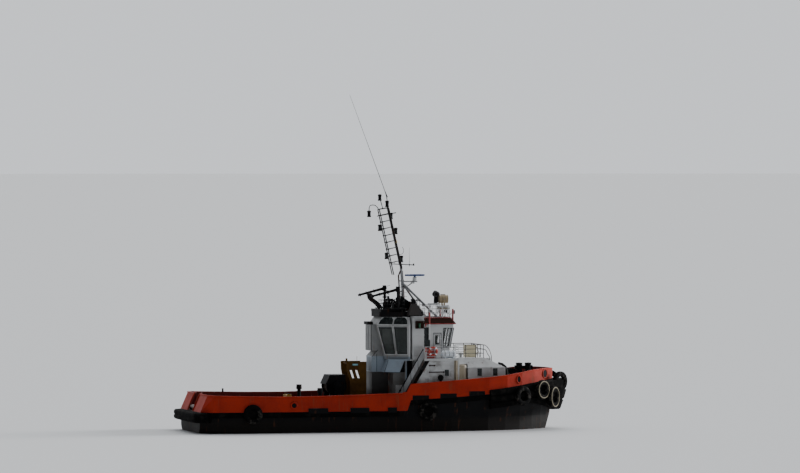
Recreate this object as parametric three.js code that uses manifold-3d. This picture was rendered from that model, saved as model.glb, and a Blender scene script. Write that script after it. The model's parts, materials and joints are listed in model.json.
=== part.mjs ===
// A seagoing harbour tug, afloat. Millimetres: +X to the bow, +Y to port, +Z up.
// The origin is on the centreline amidships, at the waterline.
import * as THREE from "three";
import { mergeVertices } from "three/addons/utils/BufferGeometryUtils.js";
import Module from "manifold-3d";

const wasm = await Module();
wasm.setup();

// Driving dimensions
const SEAT = 0.3; // gap between pieces that touch
const RUN = 12; // clearance beside moving pieces
const AFT_DECK_Z = 1620;
const TRANSOM_X = -14600;
const STEP_X = 1450; // where the raised foredeck starts
const FORE_DECK_Z = 2440; // its height at the step
const BULWARK_T = 80;
const TRANSOM_LEAN = 560; // how far the transom bulwark leans forward at its top
const TOW_GAP_HALF = 950;
const BOAT_DECK_Z = 5500;
const BOAT_DECK_T = 90;
const WALL_T = 60;
const GLASS_T = 16;
const MONKEY_Z = 8700; // top of the wheelhouse roof
const PLATFORM_Z = 9450;
const SHAFT_Y = 2150;
const SHAFT_Z = -2250;
const PROP_X = -9700;
const PROP_R = 1180;
const NOZZLE_R = 1210;
const RUDDER_X = -11300;
const RUDDER_TOP_Z = -1000;
const MAST_PIVOT = [2110, 12550];
const MAST_RAKE_DEG = 12.8;
const MAST_LENGTH = 4810; // from the pivot to the top of its rails
const RADAR_X = 3200;
const WINCH_X = -3250;
const WINCH_Z = 3430;
const MONITOR_X = 1330;
const MONITOR_Y = 2150;
const FAR = 20000; // beyond the whole boat, for cutters

const COLOURS = {
  hull: ["#1b1b1f", 0.7, 0.1],
  band: ["#b5391c", 0.6, 0.1],
  white: ["#d6d6d2", 0.55, 0.0],
  grey: ["#8f99a3", 0.6, 0.1],
  black: ["#151516", 0.7, 0.1],
  rubber: ["#1a1a1a", 0.95, 0.0],
  glass: ["#31403f", 0.1, 0.0],
  steel: ["#6f7276", 0.5, 0.7],
  bronze: ["#a07a3a", 0.4, 0.9],
  winch: ["#7a6426", 0.7, 0.2],
  yellow: ["#c9a023", 0.6, 0.0],
  blue: ["#2c5f8a", 0.5, 0.0],
};

// Geometry with shared corners, as a solid for joining and cutting
function solid(geometry) {
  const bare = geometry.clone();
  bare.deleteAttribute("normal");
  bare.deleteAttribute("uv");
  const merged = mergeVertices(bare, 1e-3);
  const mesh = new wasm.Mesh({
    numProp: 3,
    vertProperties: merged.attributes.position.array,
    triVerts: new Uint32Array(merged.index.array),
  });
  return new wasm.Manifold(mesh);
}

function geometryOf(body) {
  const mesh = body.simplify(0.02).getMesh();
  const geometry = new THREE.BufferGeometry();
  geometry.setAttribute("position", new THREE.BufferAttribute(mesh.vertProperties, 3));
  geometry.setIndex(new THREE.BufferAttribute(mesh.triVerts, 1));
  return geometry;
}

function join(...pieces) {
  return geometryOf(pieces.map(solid).reduce((sum, piece) => sum.add(piece)));
}

function cut(body, ...tools) {
  return geometryOf(tools.map(solid).reduce((left, tool) => left.subtract(tool), solid(body)));
}

function box(low, high) {
  const size = high.map((value, i) => value - low[i]);
  const middle = high.map((value, i) => (value + low[i]) / 2);
  return new THREE.BoxGeometry(...size).translate(...middle);
}

// What lies above a height
function above(height, geometry) {
  return cut(geometry, box([-FAR, -FAR, height - FAR], [FAR, FAR, height]));
}

// A round bar between two points
function bar(from, to, radius, sides = 8, endRadius = radius) {
  const a = new THREE.Vector3(...from);
  const b = new THREE.Vector3(...to);
  const along = b.clone().sub(a);
  const turn = new THREE.Quaternion().setFromUnitVectors(
    new THREE.Vector3(0, 1, 0),
    along.clone().normalize(),
  );
  return new THREE.CylinderGeometry(endRadius, radius, along.length(), sides)
    .applyQuaternion(turn)
    .translate(...a.add(b).multiplyScalar(0.5).toArray());
}

// A tube through points, with a smooth curve
function tube(points, radius, steps = 12, sides = 8) {
  const circle = new THREE.Shape().absarc(0, 0, radius, 0, 2 * Math.PI);
  const path = new THREE.CatmullRomCurve3(points.map((point) => new THREE.Vector3(...point)));
  return new THREE.ExtrudeGeometry(circle, {
    steps,
    curveSegments: sides,
    extrudePath: path,
  });
}

// A plan outline [x, y] raised from one height to another
function slab(outline, low, high) {
  const shape = new THREE.Shape(outline.map(([x, y]) => new THREE.Vector2(x, y)));
  return new THREE.ExtrudeGeometry(shape, { depth: high - low, bevelEnabled: false })
    .translate(0, 0, low);
}

// A side outline [x, z] spread from one y to another
function profile(outline, low, high) {
  const shape = new THREE.Shape(outline.map(([x, z]) => new THREE.Vector2(x, z)));
  return new THREE.ExtrudeGeometry(shape, { depth: high - low, bevelEnabled: false })
    .rotateX(Math.PI / 2)
    .translate(0, high, 0);
}

// Both halves of a plan outline that is given from bow to stern on the port side
function bothSides(half) {
  return [...half, ...half.map(([x, y]) => [x, -y]).reverse()];
}

function mirrored(geometry) {
  const turned = geometry.index ? geometry.toNonIndexed() : geometry.clone();
  const position = turned.attributes.position;
  for (let i = 0; i < position.count; i += 3) {
    for (const corner of [0, 1, 2]) {
      position.setY(i + corner, -position.getY(i + corner));
    }
    const second = [position.getX(i + 1), position.getY(i + 1), position.getZ(i + 1)];
    position.setXYZ(i + 1, position.getX(i + 2), position.getY(i + 2), position.getZ(i + 2));
    position.setXYZ(i + 2, ...second);
  }
  return turned;
}

// A closed solid through rings of corners; each ring has the same number of them
function loft(rings) {
  const count = rings[0].length;
  const corners = rings.flat(2);
  const faces = [];
  for (let i = 0; i + 1 < rings.length; i += 1) {
    for (let j = 0; j < count; j += 1) {
      const a = i * count + j;
      const b = i * count + ((j + 1) % count);
      // The second half of a ring is split the other way, so that a mirrored ring stays mirrored
      if (j < count / 2) faces.push(a, b, b + count, a, b + count, a + count);
      else faces.push(a, b, a + count, b, b + count, a + count);
    }
  }
  const last = (rings.length - 1) * count;
  for (let j = 1; j + 1 < count; j += 1) {
    faces.push(0, j + 1, j, last, last + j, last + j + 1);
  }
  const geometry = new THREE.BufferGeometry();
  geometry.setAttribute("position", new THREE.Float32BufferAttribute(corners, 3));
  geometry.setIndex(faces);
  return facingOut(geometry);
}

function facingOut(geometry) {
  const { array } = geometry.attributes.position;
  const index = geometry.index.array;
  let volume = 0;
  for (let i = 0; i < index.length; i += 3) {
    const [a, b, c] = [0, 1, 2].map((k) => new THREE.Vector3().fromArray(array, index[i + k] * 3));
    volume += a.dot(b.cross(c));
  }
  if (volume < 0) {
    for (let i = 0; i < index.length; i += 3) {
      [index[i + 1], index[i + 2]] = [index[i + 2], index[i + 1]];
    }
  }
  return geometry;
}

const tug = new THREE.Group();

function add(name, geometry, colour) {
  const [color, roughness, metalness] = COLOURS[colour];
  const mesh = new THREE.Mesh(
    geometry,
    new THREE.MeshStandardMaterial({ color, roughness, metalness }),
  );
  mesh.name = name;
  tug.add(mesh);
  return mesh;
}

// Hull
// x, keel height, half breadth at the knuckle, half breadth at the deck, deck height,
// bulwark top height, fullness of the section below the knuckle
const STATIONS = [
  [TRANSOM_X, -100, 3550, 3700, AFT_DECK_Z, 2900, 5],
  [-13800, -330, 4250, 4400, AFT_DECK_Z, 2880, 5],
  [-11500, -700, 4450, 4560, AFT_DECK_Z, 2820, 5],
  [-9000, -1000, 4500, 4600, AFT_DECK_Z, 2770, 5],
  [-6500, -2000, 4500, 4600, AFT_DECK_Z, 2760, 4.5],
  [-3000, -3250, 4500, 4600, AFT_DECK_Z, 2840, 4],
  [STEP_X, -3400, 4500, 4600, AFT_DECK_Z, 2950, 4],
  [1750, -3400, 4500, 4600, FORE_DECK_Z, 3640, 4],
  [5000, -3400, 4480, 4600, 2610, 3860, 3.6],
  [8000, -3350, 4130, 4550, 2830, 4100, 3],
  [9500, -3300, 3660, 4320, 3000, 4240, 2.7],
  [10800, -3150, 3080, 3840, 3170, 4430, 2.5],
  [12000, -2800, 2280, 3080, 3330, 4600, 2.3],
  [12900, -2100, 1500, 2330, 3440, 4660, 2.2],
  [13500, -500, 850, 1600, 3500, 4660, 2.1],
  [13950, 1000, 330, 900, 3540, 4640, 2],
  [14200, 2300, 160, 330, 3560, 4620, 2],
];
const DECK_HALF = 4600; // amidships
const KNUCKLE_Z = 1050;
const KEEL_HALF = 120;
const BILGE_STEPS = 6;

function hullRing([x, keel, knuckle, deckHalf, deckZ, , fullness], extra) {
  const knuckleZ = Math.max(KNUCKLE_Z, keel + 200);
  const depth = knuckleZ - keel + extra;
  const half = [];
  for (let i = 0; i <= BILGE_STEPS; i += 1) {
    const angle = (i / BILGE_STEPS) * (Math.PI / 2);
    const y = Math.min(KEEL_HALF, knuckle / 2) +
      (knuckle - Math.min(KEEL_HALF, knuckle / 2)) * Math.sin(angle) ** (2 / fullness) + extra;
    const z = knuckleZ - depth * Math.cos(angle) ** (2 / fullness);
    half.push([x, y, z]);
  }
  half.push([x, deckHalf + extra, deckZ + extra]);
  return [...half, ...half.map(([px, y, z]) => [px, -y, z]).reverse()];
}

function hullShell(extra) {
  const rings = STATIONS.map((station) => hullRing(station, extra));
  rings[0] = rings[0].map(([x, y, z]) => [x - extra, y, z]);
  rings[rings.length - 1] = rings.at(-1).map(([x, y, z]) => [x + extra, y, z]);
  return loft(rings);
}

// The hull with the gap that a touching piece keeps, used to cut such pieces
const HULL_CUTTER = hullShell(SEAT);

function onHull(geometry) {
  return cut(geometry, HULL_CUTTER);
}

const SKEG = [
  [-11900, -400],
  [-12100, -3700],
  [-3500, -3950],
  [5000, -3650],
  [5000, -3300],
  [-2500, -3100],
  [-7500, -1200],
];

function hull() {
  const skeg = profile(SKEG, -170, 170);
  const trunks = [1, -1].map((side) =>
    bar([RUDDER_X, side * SHAFT_Y, RUDDER_TOP_Z], [RUDDER_X, side * SHAFT_Y, 0], 260, 12));
  return join(hullShell(0), skeg, ...trunks);
}

// Bulwarks and belts that follow the deck edge
// Each point of a run: x, y, low height, high height, lean of the top along x
function outward(run, i) {
  const before = run[Math.max(i - 1, 0)];
  const after = run[Math.min(i + 1, run.length - 1)];
  const [dx, dy] = [after[0] - before[0], after[1] - before[1]];
  const length = Math.hypot(dx, dy);
  return [dy / length, -dx / length];
}

// The outer offset may be given as a function of x
function wallAlong(run, innerOffset, outer) {
  return loft(run.map((point, i) => {
    const [x, y, low, high, lean = 0] = point;
    const [nx, ny] = outward(run, i);
    const outerOffset = typeof outer === "function" ? outer(x) : outer;
    return [
      [x + nx * innerOffset, y + ny * innerOffset, low],
      [x + nx * outerOffset, y + ny * outerOffset, low],
      [x + nx * outerOffset + lean, y + ny * outerOffset, high],
      [x + nx * innerOffset + lean, y + ny * innerOffset, high],
    ];
  }));
}

// Deck edge points from aft on the starboard side, round the bow, to aft on the port side
function roundBow(fromX, low, high) {
  const side = STATIONS.filter(([x]) => x >= fromX);
  const starboard = side.map((station) =>
    [station[0], -station[3], low(station), high(station)]);
  const port = starboard.map(([x, y, a, b]) => [x, -y, a, b]).reverse();
  return [...starboard, ...port];
}

// Slots at the foot of the bulwark: the two ends along x and the lower edge
const FREEING_PORTS = {
  aft: [[-6350, -4800, 1690], [-3050, -1560, 1690], [-80, 620, 1690]],
  fore: [[1870, 3170, 2600], [4070, 5380, 2720], [6370, 7640, 2880]],
  height: 200,
};

function freeingPorts(which) {
  return FREEING_PORTS[which].flatMap(([aft, fore, low]) => {
    const high = low + FREEING_PORTS.height;
    return [box([aft, 4000, low], [fore, 5000, high]), box([aft, -5000, low], [fore, -4000, high])];
  });
}

function foreBulwark() {
  const run = roundBow(1700, (s) => s[4] + SEAT, (s) => s[5]);
  const start = [STEP_X - 350, -DECK_HALF, AFT_DECK_Z + SEAT, 2990];
  const mid = [STEP_X, -DECK_HALF, AFT_DECK_Z + SEAT, 3050];
  const end = [start, mid].map(([x, y, a, b]) => [x, -y, a, b]).reverse();
  const wall = wallAlong([start, mid, ...run, ...end], -BULWARK_T, 0);
  return cut(wall, HULL_CUTTER, ...freeingPorts("fore"));
}

function aftBulwark() {
  const aft = STATIONS.filter(([x]) => x <= STEP_X - 1000 && x > TRANSOM_X);
  const run = aft.map((s, i) => [s[0], s[3], AFT_DECK_Z + SEAT, s[5], i === 0 ? 200 : 0]);
  const end = [STEP_X - 350 - SEAT, DECK_HALF, AFT_DECK_Z + SEAT, 2950];
  const corner = [TRANSOM_X, 3700, AFT_DECK_Z + SEAT, 2900, TRANSOM_LEAN];
  const gap = [TRANSOM_X, TOW_GAP_HALF, AFT_DECK_Z + SEAT, 2900, TRANSOM_LEAN];
  return cut(wallAlong([gap, corner, ...run, end], 0, BULWARK_T), ...freeingPorts("aft"));
}

const AFT_BULWARK = aftBulwark();
add("bulwark_fore", foreBulwark(), "band");
add("bulwark_aft_port", AFT_BULWARK, "band");
add("bulwark_aft_starboard", mirrored(AFT_BULWARK), "band");

// Fenders and tyres
const TYRE_R = 740;
const TYRE_TUBE = 190;

// A tyre hung flat against the side, facing the given plan direction in degrees
function tyre(x, y, z, facing, radius = TYRE_R, thick = TYRE_TUBE) {
  return new THREE.TorusGeometry(radius - thick, thick, 6, 14)
    .rotateY(Math.PI / 2)
    .rotateZ((facing * Math.PI) / 180)
    .translate(x, y, z);
}

// x, y, z of a tyre's centre, the way it faces, its radius
const BOW_TYRES = [
  [10750, 4270, 2660, 62, 760],
  [12550, 3420, 3090, 54, 760],
  [13670, 2600, 2480, 39, 880],
  [14460, 1490, 3690, 36, 740],
];
// x and z of the tyres hung along each side
const SIDE_TYRES = [
  [-10700, 1480],
  [3100, 1600],
];

const BOW_FENDER_X = 7900; // its aft end
const BOW_FENDER = { thick: 300, deep: 1150, rise: 330, riseX: 9000 };
// From growX to the stem the fender grows by this much in thickness and depth
const STEM_PAD = { growX: 11000, length: 3200, thick: 800, deep: 1000, power: 1.5 };

function bowFender() {
  const { thick, deep, rise, riseX } = BOW_FENDER;
  const growth = (x) => Math.max(0, (x - STEM_PAD.growX) / STEM_PAD.length) ** STEM_PAD.power;
  const run = roundBow(
    BOW_FENDER_X,
    (s) => s[4] - deep - STEM_PAD.deep * growth(s[0]),
    (s) => s[4] + (s[0] > riseX ? rise : 0),
  );
  const belt = wallAlong(run, -60, (x) => thick + STEM_PAD.thick * growth(x));
  const tyres = BOW_TYRES.flatMap(([x, y, z, facing, radius]) => [
    tyre(x, y, z, facing, radius),
    tyre(x, -y, z, -facing, radius),
  ]);
  return cut(join(belt, ...tyres), HULL_CUTTER, foreBulwarkCutter());
}

function foreBulwarkCutter() {
  return wallAlong(roundBow(1700, (s) => s[4] - 50, (s) => s[5] + 50), -700, SEAT);
}

function sideFender() {
  const aft = STATIONS.filter(([x]) => x >= -13900 && x <= STEP_X + 10);
  const low = aft.map((s) => [s[0], s[3], 1200, 1600]);
  const fore = STATIONS.filter(([x]) => x > STEP_X + 10 && x < 8100);
  const high = fore.map((s) => [s[0], s[3], s[4] - 420, s[4] - 20]);
  const belt = wallAlong([...low, ...high], -230, 100);
  const tyres = SIDE_TYRES.map(([x, z]) => tyre(x, 4700, z, 90));
  const wallY = DECK_HALF + SEAT;
  const bowFenderAft = box([BOW_FENDER_X - 50, 0, 0], [FAR, FAR, FAR]);
  const aftWall = box([-FAR, 3000, AFT_DECK_Z - 5], [STEP_X, wallY, 3200]);
  const foreWall = box([STEP_X - 10, 3000, FORE_DECK_Z - 40], [8000, wallY, 4200]);
  return cut(join(belt, ...tyres), HULL_CUTTER, bowFenderAft, aftWall, foreWall);
}

function sternFender() {
  const half = [
    [TRANSOM_X, 0, 820, 1600],
    [TRANSOM_X, 3700, 820, 1600],
    [-13950, 4360, 820, 1600],
  ];
  const run = [...half.slice(1).map(([x, y, a, b]) => [x, -y, a, b]).reverse(), ...half];
  const belt = wallAlong(run, -560, 100);
  return cut(belt, HULL_CUTTER);
}

add("fender_bow", bowFender(), "rubber");
add("fender_side_port", sideFender(), "rubber");
add("fender_side_starboard", mirrored(sideFender()), "rubber");
add("fender_stern", sternFender(), "rubber");

// Stern gear under water: nozzles, shafts, propellers and rudders
const NOZZLE_WALL = 240;
const NOZZLE_HALF = 600;
const BLADES = 4;

function nozzle(side) {
  const outer = NOZZLE_R + NOZZLE_WALL;
  const section = [
    [NOZZLE_R, -NOZZLE_HALF],
    [outer - 120, -NOZZLE_HALF],
    [outer, NOZZLE_HALF - 200],
    [outer - 60, NOZZLE_HALF],
    [NOZZLE_R + 60, NOZZLE_HALF],
    [NOZZLE_R, 0],
    [NOZZLE_R, -NOZZLE_HALF],
  ].map(([x, y]) => new THREE.Vector2(x, y));
  const ring = new THREE.LatheGeometry(section, 24)
    .rotateZ(-Math.PI / 2)
    .translate(PROP_X, side * SHAFT_Y, SHAFT_Z);
  const headbox = box(
    [PROP_X - 350, side * SHAFT_Y - 300, SHAFT_Z + NOZZLE_R + 80],
    [PROP_X + 350, side * SHAFT_Y + 300, -500],
  );
  return onHull(join(ring, headbox));
}

function sternTube(side) {
  const y = side * SHAFT_Y;
  const tubeEnd = PROP_X + 260;
  const shaft = bar([tubeEnd + SEAT, y, SHAFT_Z], [-4200, y, SHAFT_Z], 150, 12);
  const strut = slab([[-8950, y - 70], [-8500, y - 70], [-8500, y + 70], [-8950, y + 70]],
    SHAFT_Z, -600);
  return onHull(join(shaft, strut));
}

function propeller(side) {
  const y = side * SHAFT_Y;
  const hub = bar([PROP_X - 260, y, SHAFT_Z], [PROP_X + 260, y, SHAFT_Z], 190, 12, 230);
  const cap = bar([PROP_X - 480, y, SHAFT_Z], [PROP_X - 255, y, SHAFT_Z], 70, 12, 190);
  const blades = Array.from({ length: BLADES }, (_, i) =>
    blade(side)
      .rotateX((i * 2 * Math.PI) / BLADES)
      .translate(PROP_X, y, SHAFT_Z));
  return join(hub, cap, ...blades);
}

// Radius, half width, pitch angle in degrees and half thickness along a blade
const BLADE_SECTIONS = [
  [150, 190, 62, 45],
  [500, 380, 42, 28],
  [900, 470, 28, 18],
  [PROP_R, 330, 22, 10],
];

function blade(side) {
  return loft(BLADE_SECTIONS.map(([radius, half, pitch, thick]) => {
    const angle = (side * pitch * Math.PI) / 180;
    const [c, s] = [Math.cos(angle), Math.sin(angle)];
    const corners = [[-half, -thick / 3], [0, -thick], [half, -thick / 3],
      [half, thick / 3], [0, thick], [-half, thick / 3]];
    return corners.map(([along, off]) => {
      const across = along * c - off * s;
      const reach = Math.sqrt(Math.max(radius * radius - across * across, 100));
      return [along * s + off * c, across, reach];
    });
  }));
}

function rudder(side) {
  const y = side * SHAFT_Y;
  const outline = bothSides([[450, 0], [300, 110], [0, 150], [-500, 90], [-1100, 12]]
    .map(([x, half]) => [RUDDER_X + x, half]).slice(1));
  outline.unshift([RUDDER_X + 450, 0]);
  const plate = slab(outline.map(([x, half]) => [x, y + half]), -3500, -1400);
  const stock = bar([RUDDER_X, y, -1500], [RUDDER_X, y, RUDDER_TOP_Z - SEAT], 120, 12);
  return join(plate, stock);
}

for (const [name, side] of [["port", 1], ["starboard", -1]]) {
  add(`stern_tube_${name}`, sternTube(side), "hull");
  add(`nozzle_${name}`, nozzle(side), "hull");
  add(`propeller_${name}`, propeller(side), "bronze");
  add(`rudder_${name}`, rudder(side), "hull");
}

// Deckhouses
const HOUSE_HALF = 3600;
const CORE_HALF = 2200;
const CORE_AFT_X = 950;
const HOUSE_FRONT_X = 5840;
const FORE_HOUSE_FRONT_X = 9800;
const FORE_HOUSE_HALF = 2600;
const FORE_HOUSE_TOP_Z = 5560;
const SOFFIT_Z = BOAT_DECK_Z - BOAT_DECK_T - SEAT;

// The stair wells lie between the core and a thin outer side with a raked aft edge; under the
// console a narrow casing stands out from the core
const WELL = { inner: 2780, outer: HOUSE_HALF - 40, fore: 3050 };
const CASING = { aft: -450, half: 900 };
const CONSOLE_LOW_Z = 4500;

function deckhouse() {
  const sides = [[1950, 2000], [HOUSE_FRONT_X, 2000], [HOUSE_FRONT_X, SOFFIT_Z], [3480, SOFFIT_Z],
    [1950, 2900]];
  const wide = profile(sides, -HOUSE_HALF, HOUSE_HALF);
  const core = box([CORE_AFT_X, -CORE_HALF, 1000], [4000, CORE_HALF, SOFFIT_Z]);
  const casing = box([CASING.aft, -CASING.half, 1000],
    [CORE_AFT_X + 100, CASING.half, CONSOLE_LOW_Z - SEAT]);
  const wells = [1, -1].map((side) => box(
    [1900, side > 0 ? WELL.inner : -WELL.outer, 1900],
    [WELL.fore, side > 0 ? WELL.outer : -WELL.inner, 6000],
  ));
  return onHull(join(cut(wide, ...wells), core, casing));
}

function foreHouse() {
  const [aft, fore, top] = [HOUSE_FRONT_X + SEAT, FORE_HOUSE_FRONT_X, 8300];
  const levels = [
    [2000, fore, FORE_HOUSE_HALF],
    [4810, fore, FORE_HOUSE_HALF],
    [FORE_HOUSE_TOP_Z, top, 1900],
  ];
  const body = loft(levels.map(([z, x, half]) =>
    [[aft, -half, z], [x, -half, z], [x, half, z], [aft, half, z]]));
  const niches = [1, -1].map((side) => box(
    [5950, side > 0 ? 2150 : -2700, 2000],
    [6810, side > 0 ? 2700 : -2150, 5100],
  ));
  return onHull(cut(body, ...niches));
}

const STAIR_LANDING_X = 3050;
const STAIR_INNER_Y = 2800;
const BOAT_DECK = bothSides([[HOUSE_FRONT_X, HOUSE_HALF], [STAIR_LANDING_X, HOUSE_HALF],
  [STAIR_LANDING_X, STAIR_INNER_Y], [1700, STAIR_INNER_Y], [600, 1900]]);

add("deckhouse", deckhouse(), "white");
add("deckhouse_fore", foreHouse(), "white");

// The console that overhangs aft, with the trunk that stands on it
const TRUNK = { aft: -500, half: 900, low: 6130, top: 8150 };

function aftConsole() {
  const low = bothSides([[1250, 3050], [250, 2150]]);
  const high = bothSides([[1700, 2800], [600, 1900]]);
  const body = loft([
    low.map(([x, y]) => [x, y, CONSOLE_LOW_Z]),
    high.map(([x, y]) => [x, y, SOFFIT_Z]),
  ]);
  const core = box(
    [CORE_AFT_X - SEAT, -CORE_HALF - SEAT, 1000],
    [4000, CORE_HALF + SEAT, 6000],
  );
  const trunk = box([TRUNK.aft, -TRUNK.half, TRUNK.low], [500, TRUNK.half, TRUNK.top]);
  const nose = profile([[-450, CONSOLE_LOW_Z], [500, CONSOLE_LOW_Z], [500, 6200], [50, 6200],
    [-450, 5660]], -TRUNK.half, TRUNK.half);
  const deckEdge = slab(BOAT_DECK, BOAT_DECK_Z - BOAT_DECK_T - SEAT, BOAT_DECK_Z + SEAT);
  return cut(join(body, nose, trunk), core, deckEdge, wheelhouseBlock(SEAT));
}

// Wheelhouse: rings of a half outline from forward to aft, with the height of each ring
const WHEELHOUSE_FRONT = [[5650, 1200], [5340, 2200]];
const WHEELHOUSE_FRONT_TOP = [[6040, 1250], [5730, 2200]];
const NECK = [[3400, 2200], [3400, 1950], [2200, 1950], [2200, 2600]];
const BAY = [[2050, 2600], [450, 1400]];
const BAY_TOP = [[2050, 2600], [-150, 1400]];
const WHEELHOUSE_RINGS = [
  [BOAT_DECK_Z + SEAT, [...WHEELHOUSE_FRONT, ...NECK, ...BAY]],
  [5780, [...WHEELHOUSE_FRONT, ...NECK, ...BAY]],
  [7950, [...WHEELHOUSE_FRONT_TOP, ...NECK, ...BAY_TOP]],
  [8180, [...WHEELHOUSE_FRONT_TOP, ...NECK, ...BAY_TOP]],
];

// A closed outline moved inwards by a distance
function inset(outline, distance) {
  const count = outline.length;
  const edges = outline.map(([x, y], i) => {
    const [nx, ny] = outline[(i + 1) % count];
    const length = Math.hypot(nx - x, ny - y);
    const [dx, dy] = [(nx - x) / length, (ny - y) / length];
    return { x: x - dy * distance, y: y + dx * distance, dx, dy };
  });
  return edges.map((edge, i) => {
    const before = edges[(i + count - 1) % count];
    const turn = before.dx * edge.dy - before.dy * edge.dx;
    if (Math.abs(turn) < 1e-9) return [edge.x, edge.y];
    const along = ((edge.x - before.x) * edge.dy - (edge.y - before.y) * edge.dx) / turn;
    return [before.x + before.dx * along, before.y + before.dy * along];
  });
}

function ringSolid(rings) {
  return rings.slice(1).map(([high, top], i) => {
    const [low, bottom] = rings[i];
    return loftPlan(bottom, low, top, high);
  });
}

// A solid between two plan outlines, which need not be convex
function loftPlan(bottom, low, top, high) {
  const count = bottom.length;
  const corners = [...bottom.map(([x, y]) => [x, y, low]), ...top.map(([x, y]) => [x, y, high])];
  const faces = [];
  for (let j = 0; j < count; j += 1) {
    const next = (j + 1) % count;
    if (j < count / 2) faces.push(j, next, next + count, j, next + count, j + count);
    else faces.push(j, next, j + count, next, next + count, j + count);
  }
  const cap = (outline) =>
    THREE.ShapeUtils.triangulateShape(outline.map(([x, y]) => new THREE.Vector2(x, y)), []);
  cap(bottom).forEach(([a, b, c]) => faces.push(c, b, a));
  cap(top).forEach(([a, b, c]) => faces.push(a + count, b + count, c + count));
  const geometry = new THREE.BufferGeometry();
  geometry.setAttribute("position", new THREE.Float32BufferAttribute(corners.flat(), 3));
  geometry.setIndex(faces);
  return facingOut(geometry);
}

function wheelhouseBlock(grow) {
  const rings = WHEELHOUSE_RINGS.map(([z, half]) => [z, inset(bothSides(half), -grow)]);
  return join(...ringSolid(rings));
}

const BAY_JOINT_X = 3300; // where the aft bay's walls meet the forward walls
const BAY_HEAD_Z = 8750;
const HEAD_Z = 8180;
const BAY_UPPER = [
  [HEAD_Z, [...NECK.slice(1), ...BAY_TOP]],
  [BAY_HEAD_Z, [[3400, 1950], [2200, 1950], [2200, 2300], [2050, 2300], [250, 1250]]],
];

// A window's cutter: a face given by its two lower and two upper corners, and the shares of
// its width and height that the window takes
function windowCutter([a, b, c, d], [u0, u1], [v0, v1], half) {
  const at = (u, v) => {
    const low = a.clone().lerp(b, u);
    return low.lerp(d.clone().lerp(c, u), v);
  };
  const corners = [at(u0, v0), at(u1, v0), at(u1, v1), at(u0, v1)];
  const across = corners[1].clone().sub(corners[0]);
  const up = corners[3].clone().sub(corners[0]);
  const normal = across.cross(up).normalize().multiplyScalar(half);
  return loft([
    corners.map((corner) => corner.clone().sub(normal).toArray()),
    corners.map((corner) => corner.clone().add(normal).toArray()),
  ]);
}

function face(lowRing, highRing, i, j) {
  const [[lowZ, low], [highZ, high]] = [lowRing, highRing];
  return [
    new THREE.Vector3(...low[i], lowZ),
    new THREE.Vector3(...low[j], lowZ),
    new THREE.Vector3(...high[j], highZ),
    new THREE.Vector3(...high[i], highZ),
  ];
}

const SHARE_FRONT = [0.29, 0.95];
const SHARE_BAY = [0.05, 0.97];
const SIDE_WINDOW = [[4950, 6420], [5300, 6420], [5600, 7850], [4950, 7850]];
const DOOR = { aft: 4110, fore: 4780, low: BOAT_DECK_Z + 60, high: 7500 };
const DOOR_FACE_Y = 2200;

// The hinge pins stand on the wheelhouse and the knuckles on the door turn round them
const HINGE = { x: 4800, y: 2232, pinR: 10, knuckleR: 20, half: 40, sides: 16 };
const HINGE_LEVELS = [5950, 7050];

function hingePins() {
  const { x, y, pinR, half, sides } = HINGE;
  return HINGE_LEVELS.flatMap((z) => {
    const reach = half + RUN + 23;
    const lugs = [[z - reach, z - half - RUN], [z + half + RUN, z + reach]].flatMap(([low, high]) => [
      box([x - 12, DOOR_FACE_Y + 5, low], [x + 60, y + 22, high]),
      box([x - 4, DOOR_FACE_Y - 10, low], [x + 60, DOOR_FACE_Y + 10, high]),
    ]);
    return [bar([x, y, z - reach + 5], [x, y, z + reach - 5], pinR, sides), ...lugs];
  });
}

function hingeKnuckles() {
  const { x, y, knuckleR, half, sides } = HINGE;
  return HINGE_LEVELS.flatMap((z) => [
    box([x - 180, DOOR_FACE_Y - 2, z - half], [x - 25, DOOR_FACE_Y + 22, z + half]),
    box([x - 35, DOOR_FACE_Y + 12, z - half], [x, DOOR_FACE_Y + 28, z + half]),
    bar([x, y, z - half], [x, y, z + half], knuckleR, sides),
  ]);
}

function windowCutters() {
  const [, low, high] = WHEELHOUSE_RINGS;
  const [upperLow, upperHigh] = BAY_UPPER;
  const front = [[0.03, 0.32], [0.36, 0.64], [0.68, 0.97]].map((share) => windowCutter(
    face(low, high, 0, 0).map((corner, i) => (i === 1 || i === 2
      ? new THREE.Vector3(corner.x, -corner.y, corner.z)
      : corner)),
    share,
    SHARE_FRONT,
    150,
  ));
  const port = [
    windowCutter(face(low, high, 0, 1), [0.08, 0.92], SHARE_FRONT, 150),
    windowCutter(face(low, high, 6, 7), [0.04, 0.47], SHARE_BAY, 120),
    windowCutter(face(low, high, 6, 7), [0.53, 0.96], SHARE_BAY, 120),
    windowCutter(face(upperLow, upperHigh, 3, 4), [0.06, 0.47], [0.2, 0.85], 120),
    windowCutter(face(upperLow, upperHigh, 3, 4), [0.53, 0.94], [0.2, 0.85], 120),
    profile(SIDE_WINDOW, 2100, 2300),
    box([DOOR.aft - RUN, 2100, DOOR.low - RUN], [DOOR.fore + RUN, 2300, DOOR.high + RUN]),
  ];
  return [...front, ...port, ...port.map(mirrored)];
}

function wheelhouse() {
  const outer = join(wheelhouseBlock(0), ...ringSolid(BAY_UPPER.map(([z, half]) =>
    [z, bothSides(half)])));
  const innerRings = WHEELHOUSE_RINGS.map(([z, half], i) =>
    [i === 0 ? z - 50 : z, inset(bothSides(half), WALL_T)]);
  innerRings.push([HEAD_Z + 50, innerRings.at(-1)[1]]);
  const innerBay = BAY_UPPER.map(([z, half], i) =>
    [i === 0 ? z - 60 : z + 50, inset(bothSides(half), WALL_T)]);
  const shell = cut(outer, ...ringSolid(innerRings), ...ringSolid(innerBay), ...windowCutters());
  const pins = hingePins();
  return join(shell, ...pins, ...pins.map(mirrored));
}

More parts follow.
